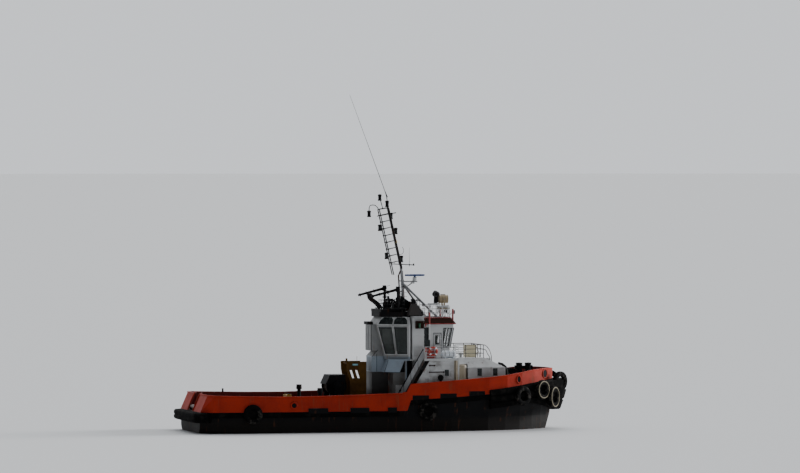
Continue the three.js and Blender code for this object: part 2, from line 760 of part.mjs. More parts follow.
// What lies between two places along x
function between(aft, fore, geometry) {
  return cut(
    geometry,
    box([-FAR, -FAR, -FAR], [aft, FAR, FAR]),
    box([fore, -FAR, -FAR], [FAR, FAR, FAR]),
  );
}

function wheelhouseDoor() {
  const leaf = box([DOOR.aft, DOOR_FACE_Y - WALL_T, DOOR.low], [DOOR.fore, DOOR_FACE_Y, DOOR.high]);
  const pane = box([DOOR.aft + 180, 2100, 6650], [DOOR.fore - 180, 2300, 7300]);
  const { x, y, pinR, sides } = HINGE;
  const pinHole = bar([x, y, DOOR.low], [x, y, DOOR.high], pinR + SEAT, sides);
  return cut(join(cut(leaf, pane), ...hingeKnuckles()), pinHole);
}

// A band of glass inside the wall, from one x to another
const GLASS_LIFT = 40;

function glassBand(fromX, toX) {
  const bands = WHEELHOUSE_RINGS.slice(1, 3);
  const within = (distance, spread) => ringSolid(bands.map(([z, half], i) =>
    [z + GLASS_LIFT + (i === 0 ? -spread : spread), inset(bothSides(half), distance)]));
  const shell = cut(within(WALL_T + SEAT, 0)[0], ...within(WALL_T + SEAT + GLASS_T, 50));
  return between(fromX, toX, shell);
}

const WHEELHOUSE = wheelhouse();
add("wheelhouse", between(BAY_JOINT_X + SEAT, FAR - 1, WHEELHOUSE), "white");
add("wheelhouse_bay", between(1 - FAR, BAY_JOINT_X, WHEELHOUSE), "white");
add("wheelhouse_door_port", wheelhouseDoor(), "white");
add("wheelhouse_door_starboard", mirrored(wheelhouseDoor()), "white");
add("glass_fore", glassBand(4850, 9000), "glass");
add("glass_aft", glassBand(-3000, 2180), "glass");
add("aft_console", aftConsole(), "grey");

// What shows inside the wheelhouse
function controlDesk(x, facing, half) {
  const side = [[0, 0], [420, 0], [420, 950], [330, 1080], [0, 900]]
    .map(([dx, z]) => [x + facing * dx, BOAT_DECK_Z + SEAT + z]);
  return profile(facing > 0 ? side : side.reverse(), -half, half);
}

function helmChair(x, y, facing) {
  const z = BOAT_DECK_Z + SEAT;
  const post = bar([x, y, z], [x, y, z + 520], 60, 10);
  const foot = bar([x, y, z], [x, y, z + 30], 240, 12);
  const seat = box([x - 250, y - 250, z + 500], [x + 250, y + 250, z + 610]);
  const back = box(
    [x + (facing > 0 ? -250 : 140), y - 230, z + 560],
    [x + (facing > 0 ? -140 : 250), y + 230, z + 1250],
  );
  return join(post, foot, seat, back);
}

add("control_desk_fore", controlDesk(4850, 1, 1000), "grey");
add("control_desk_aft", controlDesk(1200, -1, 900), "grey");
add("helm_chair_fore", helmChair(4250, 0, 1), "black");
add("helm_chair_aft", helmChair(1750, 0, -1), "black");

// Roofs
function foreRoof() {
  const low = bothSides([[6170, 1300], [5850, 2380], [3400 + SEAT, 2380]]);
  const high = bothSides([[5800, 1150], [5500, 2050], [3400 + SEAT, 2050]]);
  const skirt = loftPlan(low, HEAD_Z + SEAT + 60, high, MONKEY_Z);
  const base = loftPlan(low, HEAD_Z + SEAT, low, HEAD_Z + SEAT + 61);
  return join(skirt, base);
}

const BAY_ROOF_Z = 9150;
const BAY_ROOF = bothSides([[3380, 1930], [1800, 1930], [1800, 2170], [50, 1330]]);

add("roof_fore", foreRoof(), "black");
add("roof_aft", slab(BAY_ROOF, BAY_HEAD_Z + SEAT, BAY_ROOF_Z), "black");

// Funnels
const FUNNEL = { aft: 2330, fore: 3250, inner: 2000, outer: 2750, top: 8850 };

function funnelTop() {
  const ring = (z, aft, fore, inner, outer) =>
    [[aft, inner, z], [fore, inner, z], [fore, outer, z], [aft, outer, z]];
  return loft([
    ring(FUNNEL.top, 2000, 3120, 1960, 2780),
    ring(9500, 2250, 2900, 2120, 2640),
    ring(9800, 2330, 2680, 2200, 2560),
  ]);
}

const FUNNEL_BODY = box(
  [FUNNEL.aft, FUNNEL.inner, BOAT_DECK_Z + SEAT],
  [FUNNEL.fore, FUNNEL.outer, FUNNEL.top],
);
const FUNNEL_SOLID = join(FUNNEL_BODY, funnelTop());
add("funnel_port", FUNNEL_SOLID, "white");
add("funnel_starboard", mirrored(FUNNEL_SOLID), "white");

// Pipes that curve up aft from the aft roof
function exhaustPipes() {
  const pipes = [-330, 330].map((y) =>
    tube([[480, y, BAY_ROOF_Z + SEAT], [420, y, 9450], [60, y, 9850], [-330, y, 10150],
      [-420, y, 10560]], 95, 7, 3));
  const foot = box([300, -450, BAY_ROOF_Z + SEAT], [640, 450, BAY_ROOF_Z + 40]);
  return above(BAY_ROOF_Z + SEAT, join(...pipes, foot));
}

add("exhaust_pipes", exhaustPipes(), "black");

// Monitor platform
const PLATFORM_T = 90;
const PLATFORM = bothSides([[2450, 450], [1800, 1900], [1800, 2420], [900, 2420], [700, 800]]);
const MONITOR_BASE_TOP = 10150;

function monitorPlatform() {
  const plate = slab(PLATFORM, PLATFORM_Z - PLATFORM_T, PLATFORM_Z);
  const legs = [[900, 1400], [1700, 1850], [2300, 500]].flatMap(([x, y]) => [y, -y].map((side) =>
    bar([x, side, BAY_ROOF_Z + SEAT], [x, side, PLATFORM_Z - 10], 60, 8)));
  const risers = [1, -1].map((side) => bar(
    [MONITOR_X, side * MONITOR_Y, PLATFORM_Z - 10],
    [MONITOR_X, side * MONITOR_Y, MONITOR_BASE_TOP],
    95,
    12,
  ));
  return join(plate, ...legs, ...risers);
}

function monitor(side) {
  const y = side * MONITOR_Y;
  const head = [MONITOR_X, y, 10900];
  const riser = bar([MONITOR_X, y, MONITOR_BASE_TOP + SEAT], [MONITOR_X, y, 10980], 110, 12);
  const flange = bar(
    [MONITOR_X, y, MONITOR_BASE_TOP + SEAT],
    [MONITOR_X, y, MONITOR_BASE_TOP + 60],
    160,
    12,
  );
  const barrel = bar(head, [MONITOR_X - 2050, y, 10380], 75, 12, 60);
  const nozzleTip = bar([MONITOR_X - 1850, y, 10430], [MONITOR_X - 2130, y, 10360], 85, 12);
  const swivel = bar([MONITOR_X, y - 190, 10900], [MONITOR_X, y + 190, 10900], 130, 12);
  return join(riser, flange, barrel, nozzleTip, swivel);
}

add("monitor_platform", monitorPlatform(), "black");
add("fire_monitor_port", monitor(1), "black");
add("fire_monitor_starboard", monitor(-1), "black");

// Masts
const POLE_R = 90;
const LUG_HALF = 50;
const PIN_R = 35;
const PIN_SIDES = 32;
const LEG_APEX = [2185, 0, 11350];
const RADAR_TOP_Z = 11500;

function lowerMast() {
  const [px, pz] = MAST_PIVOT;
  const pole = bar([2300, 0, PLATFORM_Z + 15], [px + 8, 0, pz - 120], POLE_R, 12);
  const foot = box([2160, -160, PLATFORM_Z + SEAT], [2440, 160, PLATFORM_Z + 40]);
  const lug = box([px - 90, -LUG_HALF, pz - 200], [px + 90, LUG_HALF, pz + 90]);
  const legs = [1, -1].map((side) =>
    bar(LEG_APEX, [4500, side * 1900, MONKEY_Z + SEAT + 15], 60, 8));
  const pads = [1, -1].map((side) => box(
    [4380, side * 1900 - 110, MONKEY_Z + SEAT],
    [4620, side * 1900 + 110, MONKEY_Z + 40],
  ));
  const bracket = box([2200, -110, RADAR_TOP_Z - 90], [RADAR_X + 180, 110, RADAR_TOP_Z]);
  const brace = bar([2300, 0, 10900], [RADAR_X - 50, 0, RADAR_TOP_Z - 60], 40, 8);
  const gearbox = bar(
    [RADAR_X, 0, RADAR_TOP_Z - 20],
    [RADAR_X, 0, RADAR_TOP_Z + 300],
    160,
    12,
  );
  const body = join(pole, foot, lug, ...legs, ...pads, bracket, brace, gearbox);
  const pinHole = bar([px, -300, pz], [px, 300, pz], PIN_R + SEAT, PIN_SIDES);
  return cut(above(MONKEY_Z + SEAT, body), pinHole);
}

// A point of the upper mast: height along it from the pivot, distance aft of its fore rail
function mastPoint(up, aft, y) {
  const rake = (MAST_RAKE_DEG * Math.PI) / 180;
  const [px, pz] = MAST_PIVOT;
  return [
    px - up * Math.sin(rake) - aft * Math.cos(rake),
    y,
    pz + up * Math.cos(rake) - aft * Math.sin(rake),
  ];
}

const LATTICE_DEPTH = 760;
const LATTICE_HALF = 270;
const RUNG_STEP = 540;
const CHEEK_GAP = 12;
const WHIP_LENGTH = 8330;
const WHIP_RAKE_DEG = 20.6;
const WHIP_FOOT = [5700, -100];

function upperMast() {
  const point = mastPoint;
  const railTop = MAST_LENGTH;
  const foreRail = bar(point(250, 0, 0), point(railTop, 0, 0), 55, 6);
  const aftRails = [1, -1].map((side) => bar(
    point(-420, LATTICE_DEPTH, side * LATTICE_HALF),
    point(railTop, LATTICE_DEPTH, side * LATTICE_HALF),
    42,
    6,
  ));
  const count = Math.floor(railTop / RUNG_STEP);
  const rungs = Array.from({ length: count }, (_, i) => (i + 1) * RUNG_STEP).flatMap((up) => [
    bar(point(up, 0, 0), point(up, LATTICE_DEPTH, LATTICE_HALF), 28, 4),
    bar(point(up, 0, 0), point(up, LATTICE_DEPTH, -LATTICE_HALF), 28, 4),
    bar(point(up, LATTICE_DEPTH, -LATTICE_HALF), point(up, LATTICE_DEPTH, LATTICE_HALF), 28, 4),
  ]);
  const inner = LUG_HALF + CHEEK_GAP;
  const cheeks = [1, -1].map((side) => {
    const [low, high] = side > 0 ? [inner, inner + 30] : [-inner - 30, -inner];
    const outline = [[-90, 80], [-90, -80], [320, -80], [320, 80]]
      .map(([up, aft]) => point(up, aft, 0))
      .map(([x, , z]) => [x, z]);
    return profile(outline, low, high);
  });
  const head = box([-inner - 30, -70, 0], [inner + 30, 70, 80])
    .rotateZ(Math.PI / 2)
    .rotateY((-MAST_RAKE_DEG * Math.PI) / 180)
    .translate(...point(240, 0, 0));
  const [px, pz] = MAST_PIVOT;
  const pin = bar([px, -inner - 60, pz], [px, inner + 60, pz], PIN_R, PIN_SIDES);
  const crosstree = bar(point(4310, 1000, 0), point(4235, -545, 0), 35, 6);
  const topPlate = bar(point(railTop - 60, -60, 0), point(railTop, LATTICE_DEPTH + 60, 0), 45, 8);
  const topPosts = [
    bar(point(railTop - 30, 420, 0), point(railTop + 780, 460, 0), 35, 8),
    bar(point(railTop - 30, 0, 0), point(WHIP_FOOT[0] + 20, WHIP_FOOT[1], 0), 35, 8),
  ];
  const yard = bar(point(430, 660, 0), point(-40, -1033, 0), 32, 6);
  const hook = tube([
    point(railTop, LATTICE_DEPTH, 0),
    point(railTop + 350, LATTICE_DEPTH + 180, 0),
    point(railTop + 420, LATTICE_DEPTH + 620, 0),
    point(railTop + 60, LATTICE_DEPTH + 760, 0),
  ], 32, 6, 2);
  return join(foreRail, ...aftRails, ...rungs, ...cheeks, head, pin, crosstree, topPlate,
    ...topPosts, yard, hook);
}

function whipAntenna() {
  const foot = mastPoint(...WHIP_FOOT, 0);
  const lean = (WHIP_RAKE_DEG * Math.PI) / 180;
  const tip = [
    foot[0] - WHIP_LENGTH * Math.sin(lean),
    0,
    foot[2] + WHIP_LENGTH * Math.cos(lean),
  ];
  return bar(foot, tip, 24, 6, 10);
}

add("mast_lower", lowerMast(), "white");
add("mast_upper", join(upperMast(), whipAntenna()), "white");

function radarScanner() {
  const z = RADAR_TOP_Z + 300 + SEAT;
  const hub = bar([RADAR_X, 0, z], [RADAR_X, 0, z + 90], 70, 12);
  const beam = box([RADAR_X - 880, -75, z + 60], [RADAR_X + 880, 75, z + 200]);
  return join(hub, beam);
}

add("radar_scanner", radarScanner(), "blue");

// Gear on the wheelhouse roof
function roofStand() {
  const [x0, x1, y] = [4330, 5120, 380];
  const legs = [[x0 + 40, 1], [x0 + 40, -1], [x1 - 40, 1], [x1 - 40, -1]].map(([x, side]) =>
    bar([x, side * (y - 40), MONKEY_Z + SEAT], [x, side * (y - 40), 9700], 28, 6));
  const table = box([x0, -y, 9680], [x1, y, 9760]);
  const column = bar([4850, 0, 9750], [4850, 0, 10300], 150, 12, 110);
  const head = bar([4850, -260, 10440], [4850, 260, 10440], 190, 12);
  const hood = new THREE.SphereGeometry(200, 10, 6).translate(4850, 0, 10560);
  return join(...legs, table, column, head, hood);
}

function searchlight() {
  const [x, y] = [5480, 300];
  const legs = [[-150, -250], [150, -250], [-150, 250], [150, 250]].map(([dx, dy]) =>
    bar([x - 100 + dx, dy, MONKEY_Z - 20], [x + dx, dy, 9440], 24, 6));
  const table = box([x - 330, -y - 40, 9420], [x + 330, y + 40, 9540]);
  const yoke = [1, -1].map((side) => box(
    [x - 60, side > 0 ? 330 : -370, 9500],
    [x + 60, side > 0 ? 370 : -330, 10150],
  ));
  const drum = bar([x - 330, 0, 10080], [x + 330, 0, 10080], 320, 16);
  const trunnion = bar([x, -360, 10080], [x, 360, 10080], 40, 8);
  return above(MONKEY_Z + SEAT, join(...legs, table, ...yoke, drum, trunnion));
}

add("roof_stand", roofStand(), "white");
add("searchlight", searchlight(), "yellow");

// Rails, built from posts with three rails between them
const RAIL_R = 22;

function railing(points, height, levels = 2, seat = 20) {
  const pieces = points.map(([x, y, z]) => bar([x, y, z - seat], [x, y, z + height + 6], RAIL_R, 4));
  for (let level = 1; level <= levels; level += 1) {
    const up = (height - RAIL_R) * (level / levels);
    for (let i = 0; i + 1 < points.length; i += 1) {
      const [a, b] = [points[i], points[i + 1]];
      pieces.push(bar([a[0], a[1], a[2] + up], [b[0], b[1], b[2] + up], RAIL_R - 5, 4));
    }
  }
  return join(...pieces);
}

const BOAT_RAIL = [[3100, 3560], [3900, 3560], [4700, 3560], [5500, 3560], [5780, 3560],
  [5780, 2750]].map(([x, y]) => [x, y, BOAT_DECK_Z]);
const FORE_RAIL = [[5950, 1820], [6800, 1820], [7600, 1820], [8240, 1820], [8240, 900],
  [8240, 0], [8240, -900], [8240, -1820], [7600, -1820], [6800, -1820], [5950, -1820]]
  .map(([x, y]) => [x, y, FORE_HOUSE_TOP_Z]);
const ROOF_RAIL = [[3500, 1950], [4100, 1950], [4900, 2000], [5420, 1980], [5740, 1050],
  [5740, -1050], [5420, -1980], [4900, -2000], [4100, -1950], [3500, -1950]]
  .map(([x, y]) => [x, y, MONKEY_Z]);

function boatDeck() {
  const plate = slab(BOAT_DECK, BOAT_DECK_Z - BOAT_DECK_T, BOAT_DECK_Z);
  const rail = railing(BOAT_RAIL, 1000);
  const posts = [1, -1].map((side) =>
    bar([1840, side * 2700, 2400], [1840, side * 2700, BOAT_DECK_Z - 10], 55, 8));
  return onHull(join(plate, rail, mirrored(rail), ...posts));
}

add("boat_deck", boatDeck(), "white");
add("rail_fore_house", railing(FORE_RAIL, 1000, 2, -SEAT), "white");
add("rail_roof", railing(ROOF_RAIL, 900, 2, -SEAT), "white");

// Stairs from the aft deck to the boat deck
const STAIR = {
  footX: 800, topX: STAIR_LANDING_X, inner: 2850, outer: 3500, steps: 12, sideHigh: 780,
};

function stairs() {
  const { footX, topX, inner, outer, steps, sideHigh } = STAIR;
  const low = AFT_DECK_Z + SEAT;
  const high = BOAT_DECK_Z;
  const rise = (high - low) / steps;
  const run = (topX - footX) / steps;
  const string = [[footX - 60, low], [footX + 200, low], [topX - SEAT - 2, high - 260],
    [topX - SEAT - 2, high], [topX - 90, high]];
  const side = [...string.slice(0, 3), [topX - SEAT - 2, high + sideHigh],
    [topX - 90, high + sideHigh], [footX - 60, low + sideHigh - 200]];
  const strings = [profile(string, inner, inner + 40), profile(side, outer - 40, outer)];
  const treads = Array.from({ length: steps - 1 }, (_, i) => box(
    [footX + run * (i + 0.35), inner + 30, low + rise * (i + 1) - 30],
    [footX + run * (i + 1.35), outer - 30, low + rise * (i + 1)],
  ));
  const deckStep = box([STEP_X - 400, 0, AFT_DECK_Z - 80], [1760, FAR, FORE_DECK_Z + 20]);
  return onHull(cut(join(...strings, ...treads), deckStep));
}

add("stairs_port", stairs(), "grey");
add("stairs_starboard", mirrored(stairs()), "grey");

// Life-raft canisters in their cradles
function liferaft() {
  const [x0, x1, y, radius] = [4500, 5650, 3235, 285];
  const z = BOAT_DECK_Z + 120 + radius;
  const shell = [0, 0.55, 0.9, 1, 1, 0.9, 0.55, 0];
  const at = [0, 0.01, 0.05, 0.14, 0.86, 0.95, 0.99, 1];
  const points = shell.map((share, i) =>
    new THREE.Vector2(share * radius, at[i] * (x1 - x0)));
  const canister = new THREE.LatheGeometry(points, 16).rotateZ(-Math.PI / 2).translate(x0, y, z);
  const cradles = [x0 + 250, x1 - 250].map((x) => box(
    [x - 40, y - 260, BOAT_DECK_Z + SEAT],
    [x + 40, y + 260, BOAT_DECK_Z + 260],
  ));
  const beams = [-220, 220].map((dy) => box(
    [x0 + 200, y + dy - 30, BOAT_DECK_Z + SEAT],
    [x1 - 200, y + dy + 30, BOAT_DECK_Z + 60],
  ));
  return join(canister, ...cradles, ...beams);
}

add("liferaft_port", liferaft(), "white");
add("liferaft_starboard", mirrored(liferaft()), "white");

// Box and curved vent on the forward house
function ventBox() {
  const z = FORE_HOUSE_TOP_Z + SEAT;
  return box([7250, -550, z], [8000, 550, z + 950]);
}

add("vent_box", ventBox(), "white");

// Foredeck
const BITT_X = 11960;

function towBitt() {
  const posts = [-360, 360].map((dx) =>
    bar([BITT_X + dx, 0, 3000], [BITT_X + dx, 0, 5030], 230, 16));
  const caps = [-360, 360].map((dx) =>
    bar([BITT_X + dx, 0, 4950], [BITT_X + dx, 0, 5040], 265, 16));
  const cross = bar([BITT_X - 700, 0, 4720], [BITT_X + 700, 0, 4720], 130, 12);
  return onHull(join(...posts, ...caps, cross));
}

const WINDLASS = { x: 10850, z: 4150, half: 620 };

function windlassBed() {
  const { x, z, half } = WINDLASS;
  const cheeks = [1, -1].map((side) => profile(
    [[x - 420, 3000], [x + 420, 3000], [x + 420, 3500], [x + 160, z + 160], [x - 160, z + 160],
      [x - 420, 3500]],
    side > 0 ? half : -half - 90,
    side > 0 ? half + 90 : -half,
  ));
  const plate = box([x - 480, -half - 120, 3000], [x + 480, half + 120, 3420]);
  const motor = box([x - 250, half + 60, 3400], [x + 250, half + 420, 4250]);
  return onHull(join(...cheeks, plate, motor));
}

function windlassDrum() {
  const { x, z, half } = WINDLASS;
  const reach = half - SEAT;
  const barrel = bar([x, -reach, z], [x, reach, z], 260, 16);
  const flanges = [-reach + RUN, -120, reach - RUN - 60].map((y) =>
    bar([x, y, z], [x, y + 60, z], 520, 20));
  const core = cut(join(barrel, ...flanges),
    ...[-reach, reach - RUN].map((y) => cut(
      bar([x, y, z], [x, y + RUN, z], 700, 20),
      bar([x, y - 5, z], [x, y + RUN + 5, z], 120, 16),
    )));
  return core;
}

function gooseneck() {
  return tube([[10350, -1000, 2900], [10350, -1000, 4350], [10200, -1000, 4830],
    [9950, -1000, 5010], [9650, -1000, 5090]], 110, 8, 3);
}

add("tow_bitt", towBitt(), "black");
add("windlass_bed", windlassBed(), "black");
add("windlass_drum", windlassDrum(), "black");

// Towing winch
const WINCH_HALF = 900;
const FLANGE_R = 800;
const ROPE_R = 560;

// The guard over the drum: its side outline from the aft lip, up and forward to the frame
const GUARD = { thick: 30, half: WINCH_HALF + 100, postHalf: 100 };
const GUARD_OUTLINE = [[-4550, 3600], [-4100, 4290], [-2560, 4290]];

function winchGuard() {
  const { thick, half, postHalf } = GUARD;
  const [lip, corner, fore] = GUARD_OUTLINE;
  const inner = [[fore[0], fore[1] - thick], [corner[0] + 15, corner[1] - thick],
    [lip[0] + thick, lip[1]]];
  const sheet = profile([...GUARD_OUTLINE, ...inner], -half, half);
  const side = profile([...GUARD_OUTLINE, [fore[0], 3800], [-3400, 3560]], half - thick, half);
  const post = box(
    [WINCH_X - postHalf, WINCH_HALF + 20, WINCH_Z],
    [WINCH_X + postHalf, half, fore[1] - thick / 2],
  );
  return join(sheet, side, mirrored(side), post, mirrored(post));
}

function winchBed() {
  const low = AFT_DECK_Z + SEAT;
  const cheeks = [1, -1].map((side) => profile(
    [[WINCH_X - 700, low], [WINCH_X + 700, low], [WINCH_X + 500, WINCH_Z],
      [WINCH_X + 250, WINCH_Z + 260], [WINCH_X - 250, WINCH_Z + 260], [WINCH_X - 500, WINCH_Z]],
    side > 0 ? WINCH_HALF : -WINCH_HALF - 120,
    side > 0 ? WINCH_HALF + 120 : -WINCH_HALF,
  ));
  const plate = box([WINCH_X - 900, -WINCH_HALF - 200, low], [WINCH_X + 900, WINCH_HALF + 200,
    low + 120]);
  const motor = bar([WINCH_X, -WINCH_HALF - 620, WINCH_Z], [WINCH_X, -WINCH_HALF - 100, WINCH_Z],
    330, 14);
  const motorFoot = box([WINCH_X - 250, -WINCH_HALF - 600, low], [WINCH_X + 250,
    -WINCH_HALF - 110, WINCH_Z]);
  return join(...cheeks, plate, motor, motorFoot, winchGuard());
}

function winchDrum() {
  const reach = WINCH_HALF - SEAT;
  const axle = bar([WINCH_X, -reach, WINCH_Z], [WINCH_X, reach, WINCH_Z], 150, 14);
  const rope = bar([WINCH_X, -860, WINCH_Z], [WINCH_X, 860, WINCH_Z], ROPE_R, 24);
  const flanges = [-WINCH_HALF + RUN, WINCH_HALF - RUN - 60].map((y) =>
    bar([WINCH_X, y, WINCH_Z], [WINCH_X, y + 60, WINCH_Z], FLANGE_R, 24));
  return join(axle, rope, ...flanges);
}

// Middles along x of the slanted openings in each side of the frame
// Slanted openings of the two side plates, and the beams between them
const FRAME_OPENINGS = { port: [-1580, -1150], starboard: [-2050, -1620] };
const FRAME_BEAMS = [[-1050, 5150], [-2250, 5150], [-1035, 2400], [-1035, 3600]];

function winchFrame() {
  const low = AFT_DECK_Z + SEAT;
  const outline = [[-2150, low], [-950, low], [-950, 5270], [-2450, 5270], [-2450, 4720],
    [-2250, 3700]];
  const side = (openings) => cut(
    profile(outline, 900, 1000),
    ...openings.map((x) => profile(
      [[x + 10, 3950], [x + 220, 3950], [x - 10, 4650], [x - 220, 4650]],
      850,
      1050,
    )),
  );
  const beams = FRAME_BEAMS.map(([x, z]) => bar([x, -950, z], [x, 950, z], 80, 10));
  return join(side(FRAME_OPENINGS.port), mirrored(side(FRAME_OPENINGS.starboard)), ...beams);
}

add("winch_bed", winchBed(), "black");
add("winch_drum", winchDrum(), "black");
add("winch_frame", winchFrame(), "winch");

// Aft deck fittings
function towPins() {
  const low = AFT_DECK_Z + SEAT;
  const base = box([-7300, -900, low], [-6600, 900, low + 350]);
  const pins = [-500, 500].map((y) => bar([-6950, y, low + 300], [-6950, y, 2860], 130, 12));
  const bars = box([-7150, -650, 2600], [-6750, 650, 2760]);
  return join(base, ...pins, bars);
}

function deckVent(x, y) {
  const neck = bar([x, y, AFT_DECK_Z - 60], [x, y, 3200], 150, 12);
  const cap = bar([x, y, 3050], [x, y, 3400], 230, 14, 200);
  return join(neck, cap);
}

function bitts(x, y) {
  const low = AFT_DECK_Z;
  const plate = box([x - 650, y - 220, low - 60], [x + 650, y + 220, low + 60]);
  const posts = [-380, 380].map((dx) =>
    bar([x + dx, y, low + 30], [x + dx, y, low + 750], 150, 14));
  return join(plate, ...posts);
}

add("tow_pins", towPins(), "yellow");

const DECK_FITTINGS = [1, -1].flatMap((side) => [
  deckVent(-5200, side * 3600),
  bitts(-9800, side * 3900),
]);
add("hull", join(hull(), gooseneck(), ...DECK_FITTINGS), "hull");

// Stern roller between the ends of the transom bulwark
const ROLLER = { x: -14280, z: 1900, radius: 170 };

function rollerBrackets() {
  const low = AFT_DECK_Z + SEAT;
  const cheek = [1, -1].map((side) => profile(
    [[ROLLER.x - 200, low], [ROLLER.x + 350, low], [ROLLER.x + 120, ROLLER.z + 150],
      [ROLLER.x - 120, ROLLER.z + 150]],
    side > 0 ? 820 : -900,
    side > 0 ? 900 : -820,
  ));
  const sill = box([ROLLER.x - 200, -900, low], [ROLLER.x + 350, 900, low + 40]);
  return join(...cheek, sill);
}

function roller() {
  const { x, z, radius } = ROLLER;
  const barrel = bar([x, -800, z], [x, 800, z], radius, 18);
  const axle = bar([x, -820 + SEAT, z], [x, 820 - SEAT, z], 60, 12);
  return join(barrel, axle);
}

add("roller_brackets", rollerBrackets(), "black");
add("stern_roller", roller(), "steel");

export default tug;
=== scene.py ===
"""The looks of a seagoing tug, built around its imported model. Metres: +X bow, +Y port, +Z up."""

import json
import math

import bmesh
import bpy
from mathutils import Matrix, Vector

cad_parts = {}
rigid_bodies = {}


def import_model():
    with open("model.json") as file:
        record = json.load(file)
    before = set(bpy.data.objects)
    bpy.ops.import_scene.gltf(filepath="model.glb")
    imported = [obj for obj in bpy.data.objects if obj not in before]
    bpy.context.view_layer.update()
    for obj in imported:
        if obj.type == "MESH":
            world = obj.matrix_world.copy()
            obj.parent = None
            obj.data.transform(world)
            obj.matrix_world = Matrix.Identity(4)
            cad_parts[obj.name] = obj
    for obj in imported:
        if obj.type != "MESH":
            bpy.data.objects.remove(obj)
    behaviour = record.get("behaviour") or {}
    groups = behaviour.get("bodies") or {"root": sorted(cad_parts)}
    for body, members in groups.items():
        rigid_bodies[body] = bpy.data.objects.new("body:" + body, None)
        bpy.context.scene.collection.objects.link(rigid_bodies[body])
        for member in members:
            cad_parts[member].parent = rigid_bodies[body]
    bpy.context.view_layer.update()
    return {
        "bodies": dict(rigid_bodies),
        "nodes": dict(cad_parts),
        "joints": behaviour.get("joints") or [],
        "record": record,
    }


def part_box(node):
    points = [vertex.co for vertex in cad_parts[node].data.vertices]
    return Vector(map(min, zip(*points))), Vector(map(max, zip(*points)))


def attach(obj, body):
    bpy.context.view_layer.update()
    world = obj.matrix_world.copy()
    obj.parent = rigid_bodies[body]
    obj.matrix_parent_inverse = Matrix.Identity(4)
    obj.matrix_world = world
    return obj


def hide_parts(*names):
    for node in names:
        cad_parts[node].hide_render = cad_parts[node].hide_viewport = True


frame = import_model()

bl_info = {
    "name": "Seagoing tug",
    "version": (1, 0, 0),
    "blender": (4, 5, 0),
    "location": "View3D > Sidebar > Tug",
    "description": "Builds the finishes, fittings and stage of a seagoing tug",
    "category": "Object",
}

# The deck edge from aft to forward: x, half breadth, deck height, bulwark top
DECK_EDGE = [
    (-13.8, 4.4, 1.62, 2.88),
    (-11.5, 4.56, 1.62, 2.82),
    (-9.0, 4.6, 1.62, 2.77),
    (-6.5, 4.6, 1.62, 2.76),
    (-3.0, 4.6, 1.62, 2.84),
    (1.1, 4.6, 1.62, 2.95),
    (1.75, 4.6, 2.44, 3.64),
    (5.0, 4.6, 2.61, 3.86),
    (8.0, 4.55, 2.83, 4.1),
    (9.5, 4.32, 3.0, 4.24),
    (10.8, 3.84, 3.17, 4.43),
    (12.0, 3.08, 3.33, 4.6),
    (12.9, 2.33, 3.44, 4.66),
    (13.5, 1.6, 3.5, 4.66),
    (13.95, 0.9, 3.54, 4.64),
    (14.2, 0.33, 3.56, 4.62),
]
STEM_X = 14.2
STEP_X = 1.4  # aft of it the bulwark stands outside the deck edge
BULWARK_THICK = 0.08
BOAT_DECK_Z = 5.5
ROOF_Z = 8.7
PLATFORM_Z = 9.45
MONITOR_Y = 2.15
FORE_HOUSE_TOP_Z = 5.56

# The side walls' distance from the centreline
HOUSE_Y = 3.6
FORE_HOUSE_Y = 2.6
WHEELHOUSE_Y = 2.2
FUNNEL_Y = 2.75

# Wheelhouse outlines, port side, at the window band's foot and head
BAND_FOOT_Z = 5.78
BAND_HEAD_Z = 7.95
FRONT_FOOT = [(5.65, 1.2), (5.34, 2.2)]
FRONT_HEAD = [(6.04, 1.25), (5.73, 2.2)]
BAY_FOOT = [(2.05, 2.6), (0.45, 1.4)]
BAY_HEAD = [(2.05, 2.6), (-0.15, 1.4)]
BAY_UPPER_FOOT_Z = 8.18
BAY_UPPER_HEAD_Z = 8.75
BAY_UPPER_HEAD = [(2.05, 2.3), (0.25, 1.25)]

MAST_PIVOT = (2.11, 12.55)
MAST_RAKE = math.radians(12.8)
MAST_TOP = 4.81
MAST_DEPTH = 0.76
MAST_HALF_WIDTH = 0.27

ALONG, ACROSS, UP = Vector((1, 0, 0)), Vector((0, 1, 0)), Vector((0, 0, 1))
SIDES = ((1, "port"), (-1, "starboard"))


class Shade:
    """A number or colour in a material, so that shader maths reads as Python."""

    def __init__(self, finish, socket):
        self.finish = finish
        self.socket = socket

    def __add__(self, other):
        return self.finish.maths("ADD", self, other)

    def __sub__(self, other):
        return self.finish.maths("SUBTRACT", self, other)

    def __rsub__(self, other):
        return self.finish.maths("SUBTRACT", other, self)

    def __mul__(self, other):
        return self.finish.maths("MULTIPLY", self, other)

    __radd__ = __add__
    __rmul__ = __mul__

    def over(self, edge, soft):
        """0 below the edge, rising to 1 over a soft width"""
        settings = {"interpolation_type": "SMOOTHSTEP", "clamp": True}
        values = {"Value": self, "From Min": edge, "From Max": edge + soft}
        return self.finish.node("ShaderNodeMapRange", settings, values)

    def under(self, edge, soft):
        """1 below the edge, falling to 0 over a soft width"""
        return 1 - self.over(edge, soft)


